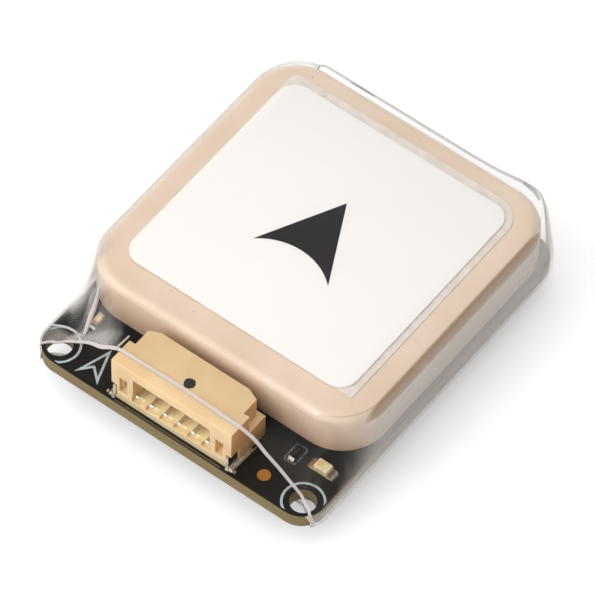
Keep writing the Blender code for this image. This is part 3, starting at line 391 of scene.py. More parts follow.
def merged_copy(node):
    """A copy of a CAD node's mesh with its loose triangles joined and its flat faces whole."""
    bm = bmesh.new()
    bm.from_mesh(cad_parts[node].data)
    move(bm, -CENTRE)
    bmesh.ops.scale(bm, vec=(1 / MM, 1 / MM, 1 / MM), verts=bm.verts)
    bmesh.ops.remove_doubles(bm, verts=bm.verts, dist=0.002)
    bmesh.ops.dissolve_limit(bm, angle_limit=math.radians(1.0), verts=bm.verts, edges=bm.edges)
    return bm


def soften(bm, width, steps=2, edges=None):
    """Rounds the given edges, or every one that turns by more than about 35 degrees."""
    if edges is None:
        edges = [edge for edge in bm.edges if len(edge.link_faces) == 2 and edge.calc_face_angle(0.0) > 0.6]
    bmesh.ops.bevel(bm, geom=edges, offset=width, offset_type="OFFSET", segments=steps, profile=0.5,
                    affect="EDGES", material=-1, clamp_overlap=True)


def softened_copy(node, width):
    bm = merged_copy(node)
    soften(bm, width)
    return bm


def level_edges(bm, z):
    return [edge for edge in bm.edges if all(abs(vert.co.z - z) < 1e-4 for vert in edge.verts)]


def added(bm, before):
    """The faces that a set of earlier faces doesn't hold."""
    return [face for face in bm.faces if face not in before]


def second_finish(bm, chosen):
    """Gives the piece's second finish to the faces chosen by themselves and their middles."""
    for face in bm.faces:
        face.material_index = int(chosen(face, face.calc_center_median()))


def flat_shape(bm, width, length, radius, steps, place):
    """A level face with round corners."""
    verts = bmesh.ops.create_grid(bm, x_segments=1, y_segments=1, size=0.5)["verts"]
    bmesh.ops.scale(bm, vec=(width, length, 1), verts=verts)
    move(bm, place, verts)
    bmesh.ops.bevel(bm, geom=verts, offset=radius, offset_type="OFFSET", segments=steps, profile=0.5,
                    affect="VERTICES", material=-1)


def extrude(bm, faces, way):
    """Pulls faces out to a body and points every face outwards."""
    made = bmesh.ops.extrude_face_region(bm, geom=faces)["geom"]
    move(bm, way, [part for part in made if isinstance(part, bmesh.types.BMVert)])
    bmesh.ops.recalc_face_normals(bm, faces=bm.faces)


def plate(bm, z, height):
    """Lifts level faces from the height 0 and makes a thin plate of them."""
    move(bm, (0, 0, z))
    extrude(bm, bm.faces[:], (0, 0, height))


def slab(bm, low, high, radius, steps=3):
    """A low block with round corners, between two opposite corners."""
    before = set(bm.faces)
    place = ((low[0] + high[0]) / 2, (low[1] + high[1]) / 2, low[2])
    flat_shape(bm, high[0] - low[0], high[1] - low[1], radius, steps, place)
    extrude(bm, added(bm, before), (0, 0, high[2] - low[2]))


def disc(bm, x, y, radius, steps, uneven=0.0):
    """A level disc at the height 0, whose rim may be a little uneven."""
    verts = bmesh.ops.create_circle(bm, cap_ends=True, segments=steps, radius=radius)["verts"]
    for vert in verts:
        vert.co *= 1 + uneven * noise.noise(vert.co * 2.7 / radius)
    move(bm, (x, y, 0), verts)


def outline_of(bm, faces, width):
    """Turns flat faces into the band along their own edge."""
    bm.normal_update()
    bmesh.ops.inset_region(bm, faces=faces, thickness=width, use_even_offset=True, use_boundary=True)
    bmesh.ops.delete(bm, geom=faces, context="FACES")


def lump(bm, place, wide, deep, high, seed, steps=3):
    """A small solidified pool of solder, flat underneath and uneven above."""
    verts = bmesh.ops.create_icosphere(bm, subdivisions=steps, radius=1.0)["verts"]
    for vert in verts:
        vert.co *= 1 + 0.35 * noise.noise(vert.co * 1.6 + Vector((seed, 2.0 * seed, 0)))
        vert.co.z = max(vert.co.z, 0.0)
    bmesh.ops.scale(bm, vec=(wide / 2, deep / 2, high), verts=verts)
    move(bm, place, verts)


def fillets(bm, node, along_y, reach, rise):
    """Hollow solder fillets, from the feet of a chip part's two end faces outwards."""
    low, high = extent(node)
    ends = int(along_y)
    foot = Vector(((low.x + high.x) / 2, (low.y + high.y) / 2, low.z if low.z > 0 else high.z))
    across = Vector()
    across[1 - ends] = (high - low)[1 - ends]
    up = Vector((0, 0, rise))
    for side in SIDES:
        outward = Vector()
        outward[ends] = side
        start = foot + (high - low)[ends] / 2 * outward - across / 2
        outward *= reach
        profile = (Vector(), outward, 0.5 * outward + 0.22 * up, 0.2 * outward + 0.55 * up, up)
        face = bm.faces.new([bm.verts.new(start + point) for point in profile])
        extrude(bm, [face], across)


def bead(bm, points, radius):
    """A thin round bead along a smooth line, thinning out at both ends."""
    curve = bpy.data.curves.new("bead", "CURVE")
    curve.dimensions = "3D"
    curve.bevel_depth = radius
    curve.bevel_resolution = 2
    curve.use_fill_caps = True
    line = curve.splines.new("NURBS")
    line.points.add(len(points) - 1)
    for number, (point, place) in enumerate(zip(line.points, points)):
        point.co = (*place, 1.0)
        point.radius = 0.35 + 0.65 * math.sin(math.pi * (number + 0.5) / len(points))
    line.use_endpoint_u = True
    line.order_u = 3
    line.resolution_u = 6
    holder = new_object("bead", curve)
    bpy.context.view_layer.update()
    mesh = bpy.data.meshes.new_from_object(holder.evaluated_get(bpy.context.evaluated_depsgraph_get()))
    bm.from_mesh(mesh)
    bpy.data.objects.remove(holder)
    bpy.data.curves.remove(curve)
    bpy.data.meshes.remove(mesh)


def dressed_chip(node, along_y, body, caps):
    """A chip part with softened edges, a moulded middle and two metal end caps."""
    bm = softened_copy(node, 0.03)
    low, high = extent(node)
    axis = int(along_y)
    inner = (high[axis] - low[axis]) / 2 - 0.235
    centre = (low[axis] + high[axis]) / 2
    second_finish(bm, lambda face, place: abs(place[axis] - centre) > inner)
    piece(f"{node}_dressed", bm, [body, caps], [node])


# Operators

class GPS_OT_board(Operator):
    """Build the board with its print and gold mark"""
    bl_idname = "gps_module.board"
    bl_label = "Circuit board"

    arrow_points = ((-7.74, -11.81, 0), (-8.73, -14.93, 0), (-7.83, -13.88, 0), (-6.68, -14.87, 0))
    mark_place = (7.46, -13.68)
    resistor_outline = (1.08, 1.78)
    print_to_corner = 0.16

    def execute(self, context):
        size = context.scene.gps_board
        low, high = extent("circuit_board")
        inset = size.hole_inset / MM
        holes = [(side * (high.x - inset), low.y + inset) for side in SIDES]
        mask = finish("solder_mask_lacquer", size.mask, shade=(0.06, 0.056, 0.054), fleck=(0.15, 0.15, 0.15),
                      roughness=0.36, spread=0.06, grain=5200.0, depth=0.004, patches=180.0, specks=5200.0,
                      level=0.74)
        edge = laminate_edge(size.laminate)
        self.board(size, low, high, holes, mask, edge)
        self.board_print(size, low, high, holes)
        gold = finish("bare_gold", size.gold, roughness=0.34, metallic=0.75, patches=1800.0)
        bm = bmesh.new()
        disc(bm, *self.mark_place, size.mark / MM, 40)
        plate(bm, high.z + 0.002, 0.012)
        mark = set(bm.faces)
        # A thin line of bare laminate along the edge before the connector
        start = low.y + 0.13
        slab(bm, (-4.9, start, high.z + 0.002), (4.6, start + 0.05, high.z + 0.014), 0.0)
        second_finish(bm, lambda face, place: face not in mark)
        piece("gold_mark", bm, [gold, edge])
        return {"FINISHED"}

    def board(self, size, low, high, holes, mask, edge):
        bm = bmesh.new()
        flat_shape(bm, high.x - low.x, high.y - low.y, size.corner / MM, 16, (0, 0, low.z))
        bmesh.ops.delete(bm, geom=bm.faces[:], context="FACES_ONLY")
        for x, y in holes:
            rim = bmesh.ops.create_circle(bm, cap_ends=False, segments=48, radius=size.hole / MM)["verts"]
            move(bm, (x, y, low.z), rim)
        bmesh.ops.triangle_fill(bm, use_beauty=True, edges=bm.edges[:])
        extrude(bm, bm.faces[:], (0, 0, high.z - low.z))
        second_finish(bm, lambda face, place: abs(face.normal.z) < 0.5)
        piece("board_dressed", bm, [mask, edge], ["circuit_board"])

    def board_print(self, size, low, high, holes):
        """The printed rings, arrow outline and part outline."""
        ink = finish("board_print_ink", size.ink, roughness=0.7, grain=14000.0, depth=0.004,
                     patches=2600.0, specks=9000.0, level=0.62, fleck=(0.42, 0.45, 0.46))
        dim = finish("worn_print_ink", (0.47, 0.46, 0.47), roughness=0.7, grain=14000.0, patches=2600.0,
                     specks=5000.0, level=0.5, fleck=(0.12, 0.12, 0.12))
        bm = bmesh.new()
        for x, y in holes:
            disc(bm, x, y, size.ring_outer / MM, 56)
        outline_of(bm, bm.faces[:], (size.ring_outer - size.ring_inner) / MM)
        self.clear_of_corners(bm, low, high, size.corner / MM)
        before = set(bm.faces)
        bm.faces.new([bm.verts.new(point) for point in self.arrow_points])
        outline_of(bm, added(bm, before), size.print_line / MM)
        before = set(bm.faces)
        part = middle("led_resistor")
        flat_shape(bm, *self.resistor_outline, 0.25, 5, (part.x, part.y, 0))
        outline_of(bm, added(bm, before), 0.12)
        second_finish(bm, lambda face, place: face not in before)
        plate(bm, high.z + 0.001, 0.01)
        piece("board_print", bm, [ink, dim])

    def clear_of_corners(self, bm, low, high, corner):
        """Takes away the print that would run over the board's front corners."""
        for side in SIDES:
            for degrees in range(0, 91, 15):
                turn = math.radians(degrees)
                out = Vector((side * math.sin(turn), -math.cos(turn), 0))
                parts = [(part, part.co) for part in bm.verts]
                parts += [(part, part.verts[0].co) for part in (*bm.edges, *bm.faces)]
                centre = Vector((side * (high.x - corner), low.y + corner, 0))
                bmesh.ops.bisect_plane(bm, geom=[part for part, place in parts if place.x * side > 0],
                                       dist=1e-5, plane_no=out, clear_outer=True,
                                       plane_co=centre + out * (corner - self.print_to_corner))


class GPS_OT_antenna(Operator):
    """Build the ceramic antenna with its tape, electrode, label and arrow"""
    bl_idname = "gps_module.antenna"
    bl_label = "Ceramic antenna"

    arrow_left = Vector((-3.53, -0.79, 0))
    arrow_right = Vector((3.27, -0.86, 0))
    arrow_tip = Vector((-0.12, 5.87, 0))

    def execute(self, context):
        size = context.scene.gps_antenna
        silver = finish("fired_silver_paste", size.silver, roughness=0.42, spread=0.1, metallic=0.1,
                        grain=16000.0, patches=900.0, level=0.72)
        foam = finish("tape_foam", (0.14, 0.14, 0.14), roughness=0.9, spread=0.05, grain=7000.0, depth=0.03)
        tin = finish("feed_tin", (0.86, 0.85, 0.82), roughness=0.3, metallic=1.0, grain=4000.0, depth=0.006)
        for node, made in (("antenna_foam_tape", foam), ("antenna_ground_plate", silver),
                           ("antenna_feed_pin", tin), ("feed_pin_solder", tin)):
            dress(node, made)
        self.ceramic(size)
        self.electrode(silver)
        self.label(size)
        self.arrow(size)
        return {"FINISHED"}

    def ceramic(self, size):
        """The block. Painted shade makes it darker down its sides, and a painted amber shade lies along its
        right front edge.
        """
        low, high = extent("antenna_ceramic")
        clay = finish("fired_ceramic", size.ceramic, shade=size.ceramic_shade, fleck=(0.72, 0.60, 0.50),
                      roughness=0.32, spread=0.06, grain=620.0, depth=0.02, patches=160.0, specks=3800.0,
                      level=0.76, coat_weight=0.5, coat_roughness=0.16)
        # Painted shade: a darker brown towards the foot of the sides
        tinted_where(clay, (0.70, 0.54, 0.39), 0.7, ("Z", 5.4, 2.0))
        # Painted shade: an amber band high on the right side, from the front corner backwards
        tinted_where(clay, (0.57, 0.42, 0.25), 0.85, ("X", 11.95, 12.15), ("Z", 5.1, 5.4), ("Y", -8.6, -7.2))
        bm = bmesh.new()
        slab(bm, low, high, size.corner / MM, 24)
        soften(bm, size.top_rounding / MM, 8, level_edges(bm, high.z))
        soften(bm, size.foot_rounding / MM, 3, level_edges(bm, low.z))
        piece("ceramic_dressed", bm, [clay], ["antenna_ceramic"], smooth=50.0)

    def electrode(self, silver):
        """The silver layer, with its corners rounded except the one at the front right."""
        bm = merged_copy("antenna_electrode")
        centre = middle("antenna_electrode")
        near_corner = 6.0
        upright = []
        for edge in bm.edges:
            foot, top = (vert.co for vert in edge.verts)
            x, y, _ = foot - centre
            outer = abs(foot.z - top.z) > 0.02 and max(abs(x), abs(y)) > near_corner
            if outer and not (x > near_corner and y < 0):
                upright.append(edge)
        soften(bm, 0.7, 4, upright)
        piece("electrode_dressed", bm, [silver], ["antenna_electrode"])

    def label(self, size):
        low, high = extent("top_label")
        paper = finish("label_film", size.label, roughness=0.5, spread=0.06, depth=0.002, patches=120.0,
                       specks=6000.0, level=0.8, shade=(0.955, 0.938, 0.92), fleck=(0.9, 0.88, 0.86))
        bm = bmesh.new()
        slab(bm, low, high, size.label_corner / MM, 16)
        soften(bm, 0.05, 2, level_edges(bm, high.z))
        piece("label_dressed", bm, [paper], ["top_label"])

    def arrow(self, size):
        """The printed arrow: two straight sides and a curved notch."""
        ink = finish("arrow_ink", size.arrow, shade=(0.125, 0.115, 0.115), roughness=0.6, grain=12000.0,
                     depth=0.002, patches=350.0, level=0.75, fleck=(0.17, 0.16, 0.16))
        bm = bmesh.new()
        left, right = self.arrow_left, self.arrow_right
        rise = size.arrow_rise / MM
        chord = (right - left).length / 2
        radius = (chord * chord + rise * rise) / (2 * rise)
        back = (right - left).normalized().cross(Vector((0, 0, 1)))
        bmesh.ops.spin(bm, geom=[bm.verts.new(left)], cent=(left + right) / 2 + back * (radius - rise),
                       axis=(0, 0, -1), angle=2 * math.asin(chord / radius), steps=28)
        tip = bm.verts.new(self.arrow_tip)
        for end in [vert for vert in bm.verts if len(vert.link_edges) == 1]:
            bm.edges.new((end, tip))
        bmesh.ops.triangle_fill(bm, use_beauty=True, edges=bm.edges[:])
        plate(bm, extent("top_label")[1].z + 0.003, 0.01)
        piece("label_arrow", bm, [ink])


class GPS_OT_connector(Operator):
    """Build the side-entry connector with its contacts, tabs and solder"""
    bl_idname = "gps_module.connector"
    bl_label = "Connector"

    dot_place = (0.27, -13.05)

    # How far the side tabs and the solder along them are from the middle
    tab_reach = 5.52
    tab_solder = 5.5

    def execute(self, context):
        size = context.scene.gps_connector
        tin = finish("tin_plating", size.tin, roughness=0.26, spread=0.1, metallic=1.0, grain=5000.0,
                     depth=0.006, patches=1500.0)
        self.housing(size)
        for number in CONTACTS:
            node = f"connector_contact_{number}"
            piece(f"contact_{number}_dressed", softened_copy(node, 0.04), [tin], [node])
        self.tabs()
        self.joints()
        self.dot(size)
        return {"FINISHED"}

    def housing(self, size):
        """The housing with its front lip and the thin walls that close the rear of its side pockets."""
        cream = finish("cream_nylon", size.plastic, shade=size.plastic_shade, fleck=(0.84, 0.70, 0.50),
                       roughness=0.42, spread=0.06, grain=3500.0, depth=0.006, patches=330.0, specks=2600.0,
                       level=0.74, subsurface_weight=0.5, subsurface_radius=(1.0, 0.6, 0.3),
                       subsurface_scale=0.0009)
        low, high = extent("connector_housing")
        tree = cream.node_tree
        # Painted shade: an amber darkening on the faces that turn to the right
        normal = add_node(tree, "NewGeometry").outputs["Normal"]
        painted_shade_side = add_node(tree, "SeparateXYZ", {0: normal}).outputs["X"]
        tinted_where(cream, (0.74, 0.46, 0.18), ramp(tree, painted_shade_side, 0.5, 0.95, 0.0, 0.6))
        # Painted light: a paler tint in the plug opening stands in for light that passes through the thin
        # walls
        tinted_where(cream, (1.0, 0.93, 0.76), 0.75, ("Y", low.y + 0.12, low.y + 0.5),
                     ("Y", high.y - 1.6, high.y - 1.9), ("Z", high.z - 0.5, high.z - 0.8),
                     ("X", high.x - 0.2, high.x - 0.4))
        bm = softened_copy("connector_housing", size.edge / MM)
        lip = bmesh.new()
        slab(lip, (low.x + 0.25, low.y - 0.05, low.z + 0.005),
             (high.x - 0.25, low.y + 0.3, low.z + 0.3), 0.1)
        for x in (low.x + 0.004, high.x - 0.186):
            slab(lip, (x, low.y + 0.95, low.z + 0.24), (x + 0.182, low.y + 2.5, low.z + 1.56), 0.0)
        soften(lip, 0.06)
        spare = mesh_of("lip", lip)
        bm.from_mesh(spare)
        bpy.data.meshes.remove(spare)
        piece("housing_dressed", bm, [cream], ["connector_housing"])

    def tabs(self):
        """The side tabs: bright tin, with a darker tin painted as shade on their upright outer faces above
        the board.
        """
        dark = finish("tab_tin_painted_shade", (0.40, 0.34, 0.28), shade=(0.2, 0.15, 0.11), roughness=0.38, metallic=0.9,
                      grain=5000.0, depth=0.006, patches=1500.0)
        bright = finish("tab_bright_tin", (0.84, 0.80, 0.74), shade=(0.62, 0.56, 0.48), roughness=0.42,
                        metallic=0.45, grain=5000.0, depth=0.008, patches=2200.0)
        for side in ("left", "right"):
            node = f"connector_tab_{side}"
            bm = softened_copy(node, 0.04)
            for vert in bm.verts:
                vert.co.x = max(-self.tab_reach, min(self.tab_reach, vert.co.x))
            bmesh.ops.dissolve_degenerate(bm, dist=0.001, edges=bm.edges)
            # Painted shade: the darker tin goes on the upright outer faces
            second_finish(bm, lambda face, place: abs(face.normal.x) > 0.5 and abs(place.x) > 5.0
                          and place.z > 1.6)
            piece(f"tab_{side}_dressed", bm, [bright, dark], [node])

    def joints(self):
        """Solder on the side tabs and at the tails of the contacts."""
        solder = finish("solder", (0.80, 0.76, 0.69), shade=(0.55, 0.49, 0.40), roughness=0.34, spread=0.1,
                        metallic=0.7, grain=2600.0, depth=0.02, patches=1100.0)
        top = extent("circuit_board")[1].z
        bm = bmesh.new()
        for side, node in zip(SIDES, ("connector_tab_left", "connector_tab_right")):
            low, high = extent(node)
            x = side * self.tab_solder
            bead(bm, [(x - side * 0.5, low.y - 0.1, top + 0.05), (x - side * 0.1, low.y - 0.06, top + 0.05),
                      (x, low.y + 0.5, top + 0.06), (x, low.y + 1.4, top + 0.06),
                      (x + side * 0.1, high.y + 0.4, top + 0.05)], 0.11)
            x = (low.x + high.x) / 2
            for number, (shift, y, wide, deep, tall) in enumerate((
                (-0.3, low.y - 0.02, 0.3, 0.22, 0.3), (0.05, low.y + 0.02, 0.3, 0.2, 0.2),
                (0.3, low.y + 0.12, 0.24, 0.3, 0.22),
            )):
                lump(bm, (x + side * shift, y, top + 0.01), wide, deep, tall, 3.1 * number + 7 * side)
        for number in CONTACTS:
            low, high = extent(f"connector_contact_{number}")
            slab(bm, (low.x - 0.12, high.y - 0.75, top + 0.002),
                 (high.x + 0.12, high.y + 0.12, top + 0.016), 0.05)
            lump(bm, ((low.x + high.x) / 2, high.y - 0.2, top + 0.01), 0.5, 0.6, 0.24, number * 1.7, 2)
        piece("connector_solder", bm, [solder])

    def dot(self, size):
        """The small inspection dot on top of the housing."""
        ink = finish("inspection_ink", size.ink, roughness=0.55, grain=8000.0, patches=1500.0)
        bm = bmesh.new()
        disc(bm, *self.dot_place, size.ink_radius / MM, 48, 0.16)
        plate(bm, extent("connector_housing")[1].z + 0.002, 0.008)
        piece("inspection_dot", bm, [ink])


class GPS_OT_front_parts(Operator):
    """Build the lamp, its resistor and the capacitor beside the connector"""
    bl_idname = "gps_module.front_parts"
    bl_label = "Front parts"

    def execute(self, context):
        dress("power_led_base", finish("lamp_base_laminate", (0.80, 0.74, 0.60), roughness=0.5))
        self.lens()
        black = finish("resistor_glaze", (0.09, 0.085, 0.085), roughness=0.3, patches=2500.0)
        dull = finish("dull_end_cap", (0.16, 0.15, 0.15), metallic=0.8, patches=2400.0)
        tan = finish("capacitor_ceramic", (0.91, 0.85, 0.68), shade=(0.84, 0.76, 0.60), roughness=0.42,
                     patches=2200.0)
        pale = finish("pale_end_cap", (0.84, 0.78, 0.72), shade=(0.7, 0.6, 0.5), roughness=0.4, metallic=0.2,
                      patches=2400.0)
        dressed_chip("led_resistor", True, black, dull)
        dressed_chip("front_capacitor", True, tan, pale)
        self.joints()
        return {"FINISHED"}

    def lens(self):
        resin = finish("lamp_resin", (0.93, 0.86, 0.69), shade=(0.86, 0.75, 0.52), roughness=0.35,
                       patches=2200.0, coat_weight=0.5, coat_roughness=0.1)
        low, high = extent("power_led_lens")
        bm = bmesh.new()
        slab(bm, low, high, 0.06)
        soften(bm, 0.09, 3, level_edges(bm, high.z))
        piece("lamp_dressed", bm, [resin], ["power_led_lens"])

    def joints(self):
        """Solder at the ends of the parts, with brown flux at the lamp's left end."""
        tin = finish("end_cap_tin", (0.62, 0.60, 0.57), roughness=0.34, spread=0.12, metallic=1.0,
                     grain=6000.0, depth=0.008, patches=2400.0)
        rust = finish("lamp_end_flux", (0.62, 0.42, 0.30), shade=(0.5, 0.33, 0.24), roughness=0.5,
                      patches=2400.0)
        bm = bmesh.new()
        for node, along_y, rise in (("power_led_base", False, 0.2), ("led_resistor", True, 0.24),
                                    ("front_capacitor", True, 0.32)):
            fillets(bm, node, along_y, 0.24, rise)
        low, high = extent("power_led_base")
        cap = 0.3
        for x in (low.x, high.x - cap):
            slab(bm, (x, low.y, high.z + 0.001), (x + cap, high.y, high.z + 0.03), 0.05)
        second_finish(bm, lambda face, place: place.y < high.y + 0.3 and abs(place.x - low.x) < 0.35)
        piece("front_part_solder", bm, [tin, rust])


class GPS_OT_underside(Operator):
    """Finish the parts on the underside of the board"""
    bl_idname = "gps_module.underside"
    bl_label = "Underside parts"

    def execute(self, context):
        steel = finish("shield_sheet", (0.78, 0.78, 0.77), roughness=0.32, metallic=1.0, grain=2600.0,
                       depth=0.006, patches=320.0, stretch=(1, 12, 1))
        black = finish("moulded_epoxy", (0.085, 0.085, 0.09), roughness=0.5, depth=0.006)
        green = finish("receiver_lacquer", (0.05, 0.16, 0.10), roughness=0.35, patches=500.0)
        lid = finish("crystal_lid_metal", (0.80, 0.76, 0.66), roughness=0.28, metallic=1.0)
        white = finish("filter_ceramic", (0.86, 0.85, 0.81), roughness=0.4)
        tan = finish("small_capacitor_ceramic", (0.72, 0.60, 0.45), roughness=0.42, patches=2200.0)
        glaze = finish("small_resistor_glaze", (0.08, 0.08, 0.085), roughness=0.3)
        tin = finish("small_part_tin", (0.84, 0.83, 0.81), roughness=0.3, metallic=1.0, grain=6000.0,
                     depth=0.008)
        for node, made, slot, width in (
            ("receiver_shield", steel, "shield_steel", 0.08), ("backup_cell", steel, "shield_steel", 0.06),
            ("receiver_board", green, "receiver_laminate", 0.03),
            ("receiver_chip", black, "black_package", 0.05),
            ("voltage_regulator", black, "black_package", 0.04),
            ("compass_chip", black, "black_package", 0.05), ("receiver_crystal", lid, "crystal_lid", 0.05),
            ("receiver_filter", white, "filter_body", 0.04), ("cell_tab_negative", tin, "tinned", 0.03),
            ("cell_tab_positive", tin, "tinned", 0.03),
        ):
            piece(f"{node}_dressed", softened_copy(node, width), [made], [node])
        bm = bmesh.new()
        for kind, count, body, slot in (
            ("receiver_capacitor", 3, tan, "capacitor"), ("regulator_capacitor", 2, tan, "capacitor"),
            ("compass_capacitor", 0, tan, "capacitor"), ("receiver_resistor", 3, glaze, "resistor"),
            ("bus_resistor", 2, glaze, "resistor"),
        ):
            for node in [f"{kind}_{number + 1}" for number in range(count)] or [kind]:
                low, high = extent(node)
                along_y = high.y - low.y > high.x - low.x
                dressed_chip(node, along_y, body, tin)
                fillets(bm, node, along_y, 0.22, -0.2)
        piece("underside_solder", bm, [tin])
        return {"FINISHED"}


class GPS_OT_sleeve(Operator):
    """Build the clear sleeve that is shrunk over the module"""
    bl_idname = "gps_module.sleeve"
    bl_label = "Clear sleeve"

    film_gap = 0.04
    half_width = 12.5 + film_gap
    corner = 3.8 + film_gap
    board_corner = 2.0

    # Where the antenna's sides are straight, and how far the film's upper edge is pulled in at the rear
    straight_from = -6.25
    straight_to = 11.15
    rear_pull = 0.36

    # The cut edge over the right and the left half: places from the middle, and the lean there to the rear
    right_lean = ((0.0, 0.08), (5.2, -0.05), (7.2, 0.2), (8.9, 0.3), (10.6, 0.32), (11.5, -0.15),
                  (12.3, -0.76), (12.9, -0.85))
    left_lean = ((0.0, 0.08), (5.2, 0.0), (6.45, -0.02), (9.1, 0.56), (10.6, 0.55), (11.5, -0.1),
                 (12.2, -0.75), (12.9, -0.85))

    def execute(self, context):
        size = context.scene.gps_sleeve
        self.wall = size.wall / MM
        self.board_low, self.board_high = extent("circuit_board")
        self.front = self.board_low.y + size.front_cut / MM
        self.rear = extent("heat_shrink_sleeve")[1].y
        outer = film_finish("film_outside", size.film, 0.014, 0.9, 0.95, 0.14, 0.006, 0.16, 0.27)
        inner = film_finish("film_inside", size.film, 0.003, 0.4, 0.95, 0.2, 0.0, 0.0, 0.0)
        frost_and_highlight = film_finish("film_cut_edge", (0.85, 0.82, 0.81), 0.6, 0.9, 0.0, 0.5, 0.1, 0.0, 0.0)
        # Smoky film for the rear folds, its darkness partly painted shade
        smoky_shade = film_finish("film_fold_painted_shade", (0.56, 0.57, 0.58), 0.3, 0.6, 0.2, 0.4, 0.15, 0.0, 0.0)
        stations = self.stations(size.cut_band / MM)
        halves = [self.section(y, size.around) for y in stations]
        rows = len(stations) - 1
        half = len(halves[0]) - 1
        bm = bmesh.new()
        bmesh.ops.create_grid(bm, x_segments=2 * half, y_segments=rows, size=0.5)
        for face in bm.faces:
            row = round((min(vert.co.y for vert in face.verts) + 0.5) * rows)
            face.material_index = int(row < 2 or row == rows - 1)
        for vert in bm.verts:
            number = round((vert.co.x + 0.5) * 2 * half)
            row = round((vert.co.y + 0.5) * rows)
            x, z = halves[row][abs(number - half)]
            side = 1 if number < half else -1
            vert.co = self.drape(Vector((side * x, stations[row], z)), size.wrinkle / MM)
        bmesh.ops.remove_doubles(bm, verts=bm.verts, dist=0.001)
        bmesh.ops.recalc_face_normals(bm, faces=bm.faces)
        sleeve = piece("film_sleeve", bm, [outer, frost_and_highlight, inner, frost_and_highlight],
                       ["heat_shrink_sleeve"], 60.0)
        wall = sleeve.modifiers.new("wall", "SOLIDIFY")
        wall.thickness = size.wall
        wall.offset = -1.0
        wall.use_even_offset = True
        wall.material_offset = 2
        self.creases(size.crease / MM, frost_and_highlight, smoky_shade)
        return {"FINISHED"}

    def stations(self, band):
        """The places along the sleeve that get a section, close together at the front and rear."""
        places = [self.front, self.front + band / 2, self.front + band]
        for step, stop in ((0.3, -6.2), (1.4, 11.0), (0.34, self.rear - band)):
            start = places[-1]
            count = max(1, round((stop - start) / step))
            places += [start + (stop - start) * (number + 1) / count for number in range(count)]
        return places + [self.rear]

    def cut_shift(self, x, z):
        """How far the cut edge leans from its straight line, at the board's corners and sides."""
        knots = self.left_lean if x < 0 else self.right_lean
        lean = 0.0
        for (x0, lean0), (x1, lean1) in zip(knots, knots[1:]):
            if x0 <= abs(x) <= x1:
                share = part_way(abs(x), x0, x1)
                lean = lean0 + (lean1 - lean0) * share * share * (3 - 2 * share)
        return lean + (-0.1 if x < 0 else 0.25) * part_way(z, 1.15, 0.55)

    def drape(self, point, wrinkle):
        """The point with the cut's lean and the film's small wrinkles, which only stand outwards."""
        near_cut = 1 - part_way(point.y, self.front, self.front + 3.0)
        in_front = part_way(point.y, -9.2, -10.7)
        upper = part_way(point.z, 1.4, 3.9)
        # At the left rear the film hugs the antenna's corner
        if point.x < 0 and point.y > self.straight_to:
            hugging = self.rear_crown(min(point.y, self.rear - 0.3), 0.36)
            point.x *= 1 + (hugging / self.rear_crown(point.y, 1.0) - 1) * upper
        point.y += self.cut_shift(point.x, point.z) * near_cut
        pull = self.rear_pull * (1 - part_way(point.x, 6.0, 8.5))
        point.y -= pull * upper * part_way(point.y, 13.5, self.rear)
        rough = noise.noise(Vector((point.x * 0.7, point.y * 1.1, point.z * 0.9))) * 0.5 + 0.5
        fine = noise.noise(Vector((point.x * 1.9, point.y * 1.3, point.z * 2.1 + 5.0))) * 0.5 + 0.5
        lift = (0.012 + wrinkle * in_front * min(1.0, (1 - near_cut) * 3.0)) * (0.7 * rough + 0.3 * fine)
        # In front the board's corners stop the film
        if point.y < 0:
            limit = self.round_corner(point.y)
            point.x = max(-limit, min(limit, point.x))
        away = Vector((point.x / 12.5, 0, (point.z - 1.5) / 5.0))
        if away.length > 0.2:
            point += away.normalized() * lift
        return point

    def round_corner(self, y):
        """Half the sleeve's width at the board, where it turns round the board's four corners."""
        past = max(0.0, abs(y) - (self.board_high.y - self.board_corner))
        reach = self.board_corner + self.film_gap + self.wall + (0.08 * past if y > 0 else 0.0)
        return self.board_high.x - self.board_corner + math.sqrt(max(0.2, reach * reach - past * past))

    def rear_crown(self, y, slack):
        """Half the width between the upper edges near the rear, where they follow the antenna's corners."""
        corner = self.corner + self.wall
        past = max(0.0, y - self.straight_to) / (corner + slack)
        return self.half_width - self.corner + corner * math.sqrt(max(0.0, 1 - past ** 2))

    def section(self, y, count):
        """Half of the sleeve's outer section at y, from the top middle down to the bottom middle."""
        corners = self.corners(y)
        points = [Vector(corners[0][:2])]

        def run_to(end):
            last = points[-1]
            points.extend(last.lerp(end, (step + 1) / (count + 1)) for step in range(count))

        for (x0, z0, _), (x, z, bend), (x1, z1, _) in zip(corners, corners[1:], corners[2:]):
            corner = Vector((x, z))
            before = Vector((x0, z0)) - corner
            after = Vector((x1, z1)) - corner
            start = corner + before.normalized() * min(bend, before.length / 2)
            end = corner + after.normalized() * min(bend, after.length / 2)
            run_to(start)
            for step in range(5):
                share = step / 4
                points.append(start.lerp(corner, share).lerp(corner.lerp(end, share), share))
        end = Vector(corners[-1][:2])
        run_to(end)
        return points + [end]

    def corners(self, y):
        """The section's corners at y: place, height and how far each corner is rounded."""
        side = self.half_width + self.wall
        floor = -self.film_gap - self.wall
